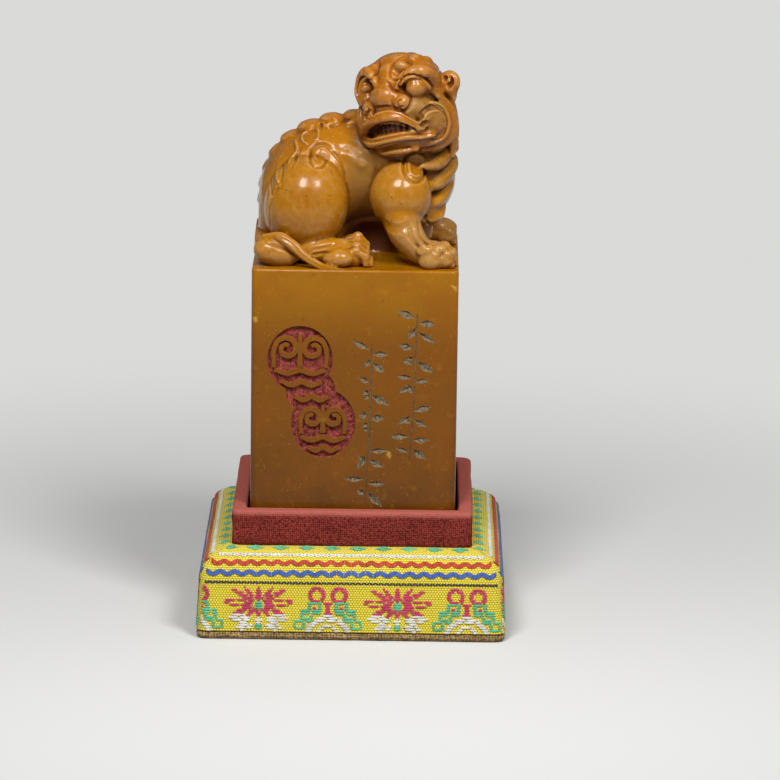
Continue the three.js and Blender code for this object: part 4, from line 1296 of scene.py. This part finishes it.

# Seal stone: finish
# Amber soapstone, rubbed with wax until light sinks a little way into it. Crevices are painted brown and wide
# hollows, downward faces, the hollows under the belly and the inside of the mouth are painted dark, all as
# painted shade; ridges are pale for wear and as painted highlight; the block is painted darker towards its
# foot as painted shade; and fine black and yellow specks lie all through it.
AMBER = (0.42, 0.168, 0.002)
HONEY = (0.40, 0.130, 0.002)
FLANK = (0.26, 0.128, 0.020)
TAN = (0.43, 0.235, 0.075)
OCHRE_TOP = (0.37, 0.148, 0.001)
# Painted shade: the block's middle and foot are painted darker than its top.
OCHRE_MIDDLE_SHADED = (0.215, 0.074, 0.001)
OCHRE_FOOT_SHADED = (0.130, 0.045, 0.001)
CLOUD = (0.27, 0.078, 0.001)
STREAK = (0.56, 0.29, 0.025)
# Painted shade in wide hollows and on faces that look down.
RED_SHADE = (0.17, 0.036, 0.002)
# Painted shade in crevices.
CREVICE_SHADE = (0.090, 0.022, 0.003)
# Painted shade in the hollows under the belly and inside the mouth.
CAVE_SHADE = (0.11, 0.021, 0.004)
# Pale ridges: wear, and a painted highlight.
WORN_AND_HIGHLIGHT = (0.58, 0.33, 0.11)
BLACK_SPECK = (0.03, 0.012, 0.005)
YELLOW_SPECK = (0.78, 0.55, 0.10)
PIGMENT_PALE = (0.50, 0.105, 0.080)
PIGMENT_DARK = (0.075, 0.005, 0.002)
CHALK = (0.28, 0.22, 0.14)
CHALK_DARK = (0.030, 0.018, 0.007)
LIGHT_DEPTH = 1.4 * MM
STONE_CREASE = math.radians(42)
# Middle, radii and strength of the places that handling has worn pale, all on the paws.
PALE_PAWS = (
    ((12.4, -16.4, 6.6), (5.0, 5.0, 5.6), 1.0), ((16.4, -18.4, 3.0), (5.6, 5.6, 4.4), 0.9),
    ((1.2, -17.4, 4.4), (4.6, 5.0, 4.6), 0.1), ((-13.4, -20.4, 3.0), (6.4, 3.6, 3.8), 0.3),
    ((17.0, 10.4, 3.4), (6.4, 7.0, 5.0), 0.7),
)
# Place on the front of the block, and size, of its natural yellow chips.
CHIPS = ((21.6, -3.6, 0.9), (-21.7, -11.2, 0.9), (7.8, -41.0, 0.8))


def eased(places, rounds):
    """Places drawn again and again towards the middle of their neighbours."""
    for _ in range(rounds):
        total = np.zeros_like(places)
        for axis in range(3):
            for start, end in ((0, 1), (1, 0)):
                total[:, axis] += np.bincount(edges[:, start], places[edges[:, end], axis], len(places))
        places = 0.5 * places + 0.5 * total / counts[:, None]
    return places


places = numbers_of(carving.vertices, "co").astype(np.float64)
outward = numbers_of(carving.vertex_normals, "vector").astype(np.float64)
edges = np.empty(2 * len(carving.edges), dtype=np.int32)
carving.edges.foreach_get("vertices", edges)
edges = edges.reshape(-1, 2)
counts = np.maximum(1, np.bincount(edges.ravel(), minlength=len(places)))
fine = eased(places, 6)
broad = eased(fine, 40)
above = places[:, 2] > 0.3


def reach_from(middle, radii, frame_of=Matrix.Identity(4)):
    """How far each place is from the middle of an egg-shaped mass, whose skin is at 1."""
    to_mass = np.array((frame_of @ placed(middle, radii)).inverted())
    return np.linalg.norm(places @ to_mass[:3, :3].T + to_mass[:3, 3], axis=1)


def nearness(middle, radii, band):
    """How near each place is to the skin of an egg-shaped mass, from 0 to 1."""
    return np.clip(1.3 - np.abs(reach_from(middle, radii) - 1) / band, 0, 1)


def within(middle, radii, frame_of=Matrix.Identity(4)):
    """1 well inside an egg-shaped region, falling to 0 at its border."""
    return np.clip((1 - reach_from(middle, radii, frame_of)) / 0.25, 0, 1)


def carry(name, values, domain="POINT"):
    """Gives every point or face of the stone a value that its finish reads."""
    layer = carving.attributes.new(name, "FLOAT", domain)
    layer.data.foreach_set("value", values.astype(np.float32))


muscles = np.zeros(len(places))
for (x, y, z), radii in (HAUNCH, SHOULDER):
    for side in (-1, 1):
        muscles = np.maximum(muscles, nearness((x, side * y, z), radii, 0.10))
rough = np.maximum(within((2.2, 0, 16), (9.5, 15, 15)), within((14, -3, 20), (8, 11, 12)))
rough = np.maximum(rough, within((5.6, 7.0, -2.0), (5.4, 5.6, 5.2), FACE))
pale = np.max([strength * within(middle, radii) for middle, radii, strength in PALE_PAWS], axis=0)
# Painted shade: the skin of the hollows under the belly and the inside of the mouth are painted dark.
cave_shade = np.max([nearness(middle, radii, 0.2) for middle, radii in BELLY_HOLLOWS], axis=0)
cave_shade *= (1 - within((1.2, -17.4, 3.4), (5.0, 6.0, 5.4))) * (np.abs(places[:, 1]) < 17) * (places[:, 2] < 10)
mouth_shade = within((7.6, -0.2, -5.4), (2.9, 6.4, 2.2), FACE)
for name, values in (
    ("fine_hollow", ((fine - places) * outward).sum(1)),
    ("broad_hollow", ((broad - fine) * outward).sum(1)),
    ("unpolished", rough * (1 - muscles)),
    ("cave_shade", np.maximum(cave_shade, mouth_shade)),
    ("paw_wear", pale),
    # Painted shade on faces that look down.
    ("underside_shade", np.clip(-1.3 * outward[:, 2], 0, 1)),
):
    carry(name, np.where(above, values, 0))

centres = numbers_of(carving.polygons, "center")
facing = numbers_of(carving.polygons, "normal")
sunken = (centres[:, 1] > -BLOCK_HALF + 0.03) & (centres[:, 1] < -BLOCK_HALF + 1.4) & (centres[:, 2] < -6)
in_gourd = np.zeros(len(centres), dtype=bool)
for x, z, wide, high in LOBES_OF_GOURD:
    in_gourd |= ((centres[:, 0] - x) / (wide + 0.3)) ** 2 + ((centres[:, 2] - z) / (high + 0.3)) ** 2 < 1
leaf_cut = sunken & ~in_gourd & (np.abs(centres[:, 0]) < BLOCK_HALF - 2)
carry("red_paint", (sunken & in_gourd) | (centres[:, 2] < -BLOCK_HEIGHT + 1.5 * PRINT_DEPTH), "FACE")
carry("knife_cut", leaf_cut, "FACE")
block_top = stone_low.z + BLOCK_HEIGHT * MM
carving.transform(Matrix.Translation((0, 0, block_top)) @ Matrix.Scale(MM, 4))


def layer_of(finish, name):
    """A named value that the mesh carries."""
    node = finish.node_tree.nodes.new("ShaderNodeAttribute")
    node.attribute_name = name
    return node.outputs["Fac"]


def specks(finish, size, share, seed):
    """Small round specks, about one in each cell of this size, of which a share are left."""
    moved = new_node("VectorMath", {0: coordinates(finish), 1: (seed, 2 * seed, 3 * seed)}).outputs[0]
    cells = new_node("TexVoronoi", {"Vector": moved, "Scale": 1 / size}).outputs
    kept = ramp(axes_of(cells["Color"])[0], 1 - share, 1 - 0.8 * share)
    return times(kept, ramp(cells["Distance"], 0.05, 0.11, 1.0, 0.0))


def chip(finish, middle, size):
    """A ragged yellow patch round a place on the stone."""
    away = new_node("VectorMath", {0: coordinates(finish), 1: middle}, operation="DISTANCE").outputs["Value"]
    ragged = plus(away, times(mottle(finish, 0.9 * size), 2.0 * size))
    return ramp(ragged, 1.2 * size, 2.0 * size, 1.0, 0.0)


soapstone = new_finish("amber_soapstone", 0.3, 0.24)
height_up = axes_of(coordinates(soapstone))[2]
clouds = mottle(soapstone, 9 * MM)
streaks = mottle(soapstone, 2.2 * MM, detail=5.0, roughness=0.65)
grain = mottle(soapstone, 0.35 * MM, detail=4.0, roughness=0.7)
fine_hollow, broad_hollow = (layer_of(soapstone, name) for name in ("fine_hollow", "broad_hollow"))
unpolished, paint, chalk = (layer_of(soapstone, name) for name in ("unpolished", "red_paint", "knife_cut"))
# Painted shade: crevices, where the skin lies below its eased shape, are painted dark.
crevice_shade = ramp(plus(times(fine_hollow, 1.5), broad_hollow), 0.05, 0.36)
# Painted shade in wide hollows.
deep_shade = ramp(broad_hollow, 0.0, 0.7)
# Ridges are painted pale, partly for wear and partly as painted highlight.
ridge = ramp(times(fine_hollow, -1), 0.025, 0.10)
caked = plus(grain, times(mottle(soapstone, 0.9 * MM), 0.7))
chips = 0.0
for x, z, size in CHIPS:
    chips = most(chips, chip(soapstone, (x * MM, -BLOCK_HALF * MM, block_top + z * MM), size * MM))
on_beast = ramp(height_up, block_top - 1.5 * MM, block_top + 3 * MM)
near_head = ramp(height_up, block_top + 20 * MM, block_top + 34 * MM)
# Painted shade: the block is painted darker towards its foot, as if lit from above.
above_foot = ramp(height_up, block_top - 58 * MM, block_top - 26 * MM)
near_top = ramp(height_up, block_top - 20 * MM, block_top - 1 * MM)
ochre = dye(near_top, dye(above_foot, OCHRE_FOOT_SHADED, OCHRE_MIDDLE_SHADED), OCHRE_TOP)
colour = dye(on_beast, ochre, dye(near_head, AMBER, HONEY))
for share, shade in (
    (times(ramp(clouds, 0.35, 0.75), 0.45), CLOUD),
    (times(unpolished, 0.8), FLANK),
    (times(ramp(streaks, 0.56, 0.8), 0.25), STREAK),
    (times(layer_of(soapstone, "paw_wear"), 0.6), TAN),
    # Painted shade: wide hollows and downward faces are painted red-brown.
    (times(most(deep_shade, layer_of(soapstone, "underside_shade")), 0.62), RED_SHADE),
    # Pale ridges: wear, and a painted highlight.
    (times(ridge, 0.55), WORN_AND_HIGHLIGHT),
    # Painted shade under the belly and in the mouth.
    (times(layer_of(soapstone, "cave_shade"), 0.9), CAVE_SHADE),
    # Painted shade in crevices.
    (times(crevice_shade, 0.74), CREVICE_SHADE),
    (times(specks(soapstone, 1.9 * MM, 0.5, 0.1), 0.9), BLACK_SPECK),
    (times(specks(soapstone, 1.3 * MM, 0.5, 0.3), 0.5), YELLOW_SPECK),
    (times(chips, 0.5), YELLOW_SPECK),
    (paint, dye(ramp(caked, 0.66, 1.04), PIGMENT_DARK, PIGMENT_PALE)),
    (chalk, dye(ramp(grain, 0.34, 0.58), CHALK_DARK, CHALK)),
):
    colour = dye(share, colour, shade)
painted = most(paint, chalk)
dull = most(times(most(painted, crevice_shade), 0.8), times(unpolished, 0.5))
waxed = times(on_beast, sum_of("SUBTRACT", 0.26, times(dull, 0.4)))
tune(soapstone, {
    "Base Color": colour,
    "Roughness": most(ramp(streaks, 0.3, 0.7, 0.17, 0.30), dull),
    "Subsurface Weight": 0.4,
    "Subsurface Radius": (1.0, 0.38, 0.08),
    "Subsurface Scale": LIGHT_DEPTH,
    "Coat Weight": most(waxed, 0.0),
    "Coat Roughness": 0.11,
})
pits = plus(0.07, plus(painted, times(unpolished, 0.3)))
relief(soapstone, times(grain, pits), 0.25 * MM)

carving.materials.clear()
carving.materials.append(soapstone)
carving.shade_smooth()
carving.set_sharp_from_angle(angle=STONE_CREASE)
layer = carving.attributes.get("sharp_face") or carving.attributes.new("sharp_face", "BOOLEAN", "FACE")
layer.data.foreach_set("value", ((np.abs(facing).max(1) > 0.9999) & (centres[:, 2] < -0.05)) | leaf_cut)
stone = new_object("seal_carving", carving)
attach(stone, "seal")
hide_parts("seal_stone")

# Camera and studio
# The set stands on a pale floor under two broad soft lamps, seen as in the photograph.
VIEW_TURN, VIEW_RISE, VIEW_ROLL = (math.radians(angle) for angle in (0.21, 12.81, 0.75))
VIEW_TARGET = Vector((7.8, 0, 48.67)) * MM
VIEW_DISTANCE = 1107.4 * MM
LENS = 229.48
LAMP_SIZE = (0.15, 0.19)
LAMP_POWER = 2.0
WORLD_GLOW = 0.17
PAPER_DARK = (0.74, 0.74, 0.73)
PAPER_PALE = (0.78, 0.78, 0.77)
PAPER_IN_SHADE = (0.34, 0.34, 0.33)
BACKDROP = (0.70, 0.70, 0.69, 1)

back = Matrix.Rotation(VIEW_TURN, 3, "Z") @ Vector((0, -math.cos(VIEW_RISE), math.sin(VIEW_RISE)))
right = (-back).cross(Vector((0, 0, 1))).normalized()
upward = right.cross(-back)
turned_right = right * math.cos(VIEW_ROLL) + upward * math.sin(VIEW_ROLL)
turned_up = -right * math.sin(VIEW_ROLL) + upward * math.cos(VIEW_ROLL)
camera = new_object("camera", bpy.data.cameras.new("camera"))
camera.data.lens = LENS
camera.data.sensor_width = 36
facing_set = Matrix((turned_right, turned_up, back)).transposed().to_4x4()
camera.matrix_world = Matrix.Translation(VIEW_TARGET + VIEW_DISTANCE * back) @ facing_set
bpy.context.scene.camera = camera

for name, place in (("left_lamp", (-0.10, -0.36, 0.48)), ("right_lamp", (0.21, -0.36, 0.48))):
    lamp = new_object(name, bpy.data.lights.new(name, "AREA"))
    lamp.data.shape = "RECTANGLE"
    lamp.data.size, lamp.data.size_y = LAMP_SIZE
    lamp.data.energy = LAMP_POWER
    aim = (Vector((0, 0, 0.07)) - Vector(place)).to_track_quat("-Z", "Y")
    lamp.matrix_world = Matrix.Translation(place) @ aim.to_matrix().to_4x4()
world = bpy.data.worlds.new("studio")
world.use_nodes = True
world.node_tree.nodes["Background"].inputs[0].default_value = (1, 1, 1, 1)
world.node_tree.nodes["Background"].inputs[1].default_value = WORLD_GLOW
bpy.context.scene.world = world
bpy.context.scene.view_settings.view_transform = "Standard"

# The paper fades into an even backdrop away from the set, where it is seen and not where it gives light.
backdrop = new_finish("pale_paper", 0.9)
nodes = backdrop.node_tree.nodes
paper = dye(mottle(backdrop, 0.2), PAPER_DARK, PAPER_PALE)
across, along, _ = axes_of(coordinates(backdrop))
spread = sum_of("SQRT", plus(sum_of("POWER", across, 2), sum_of("POWER", along, 2)))
seen = nodes.new("ShaderNodeLightPath").outputs
direct = most(seen["Is Camera Ray"], most(seen["Is Glossy Ray"], seen["Is Transmission Ray"]))
tune(backdrop, {"Base Color": dye(direct, PAPER_IN_SHADE, paper)})
glow = nodes.new("ShaderNodeEmission")
glow.inputs["Color"].default_value = BACKDROP
share = times(direct, ramp(spread, 0.05, 0.26))
paper_light = nodes["Principled BSDF"].outputs[0]
blend = new_node("MixShader", {0: share, 1: paper_light, 2: glow.outputs[0]})
feed(nodes["Material Output"].inputs["Surface"], blend.outputs[0])
bm = bmesh.new()
bmesh.ops.create_grid(bm, x_segments=1, y_segments=1, size=2)
floor = settle(bm, "floor", [backdrop])
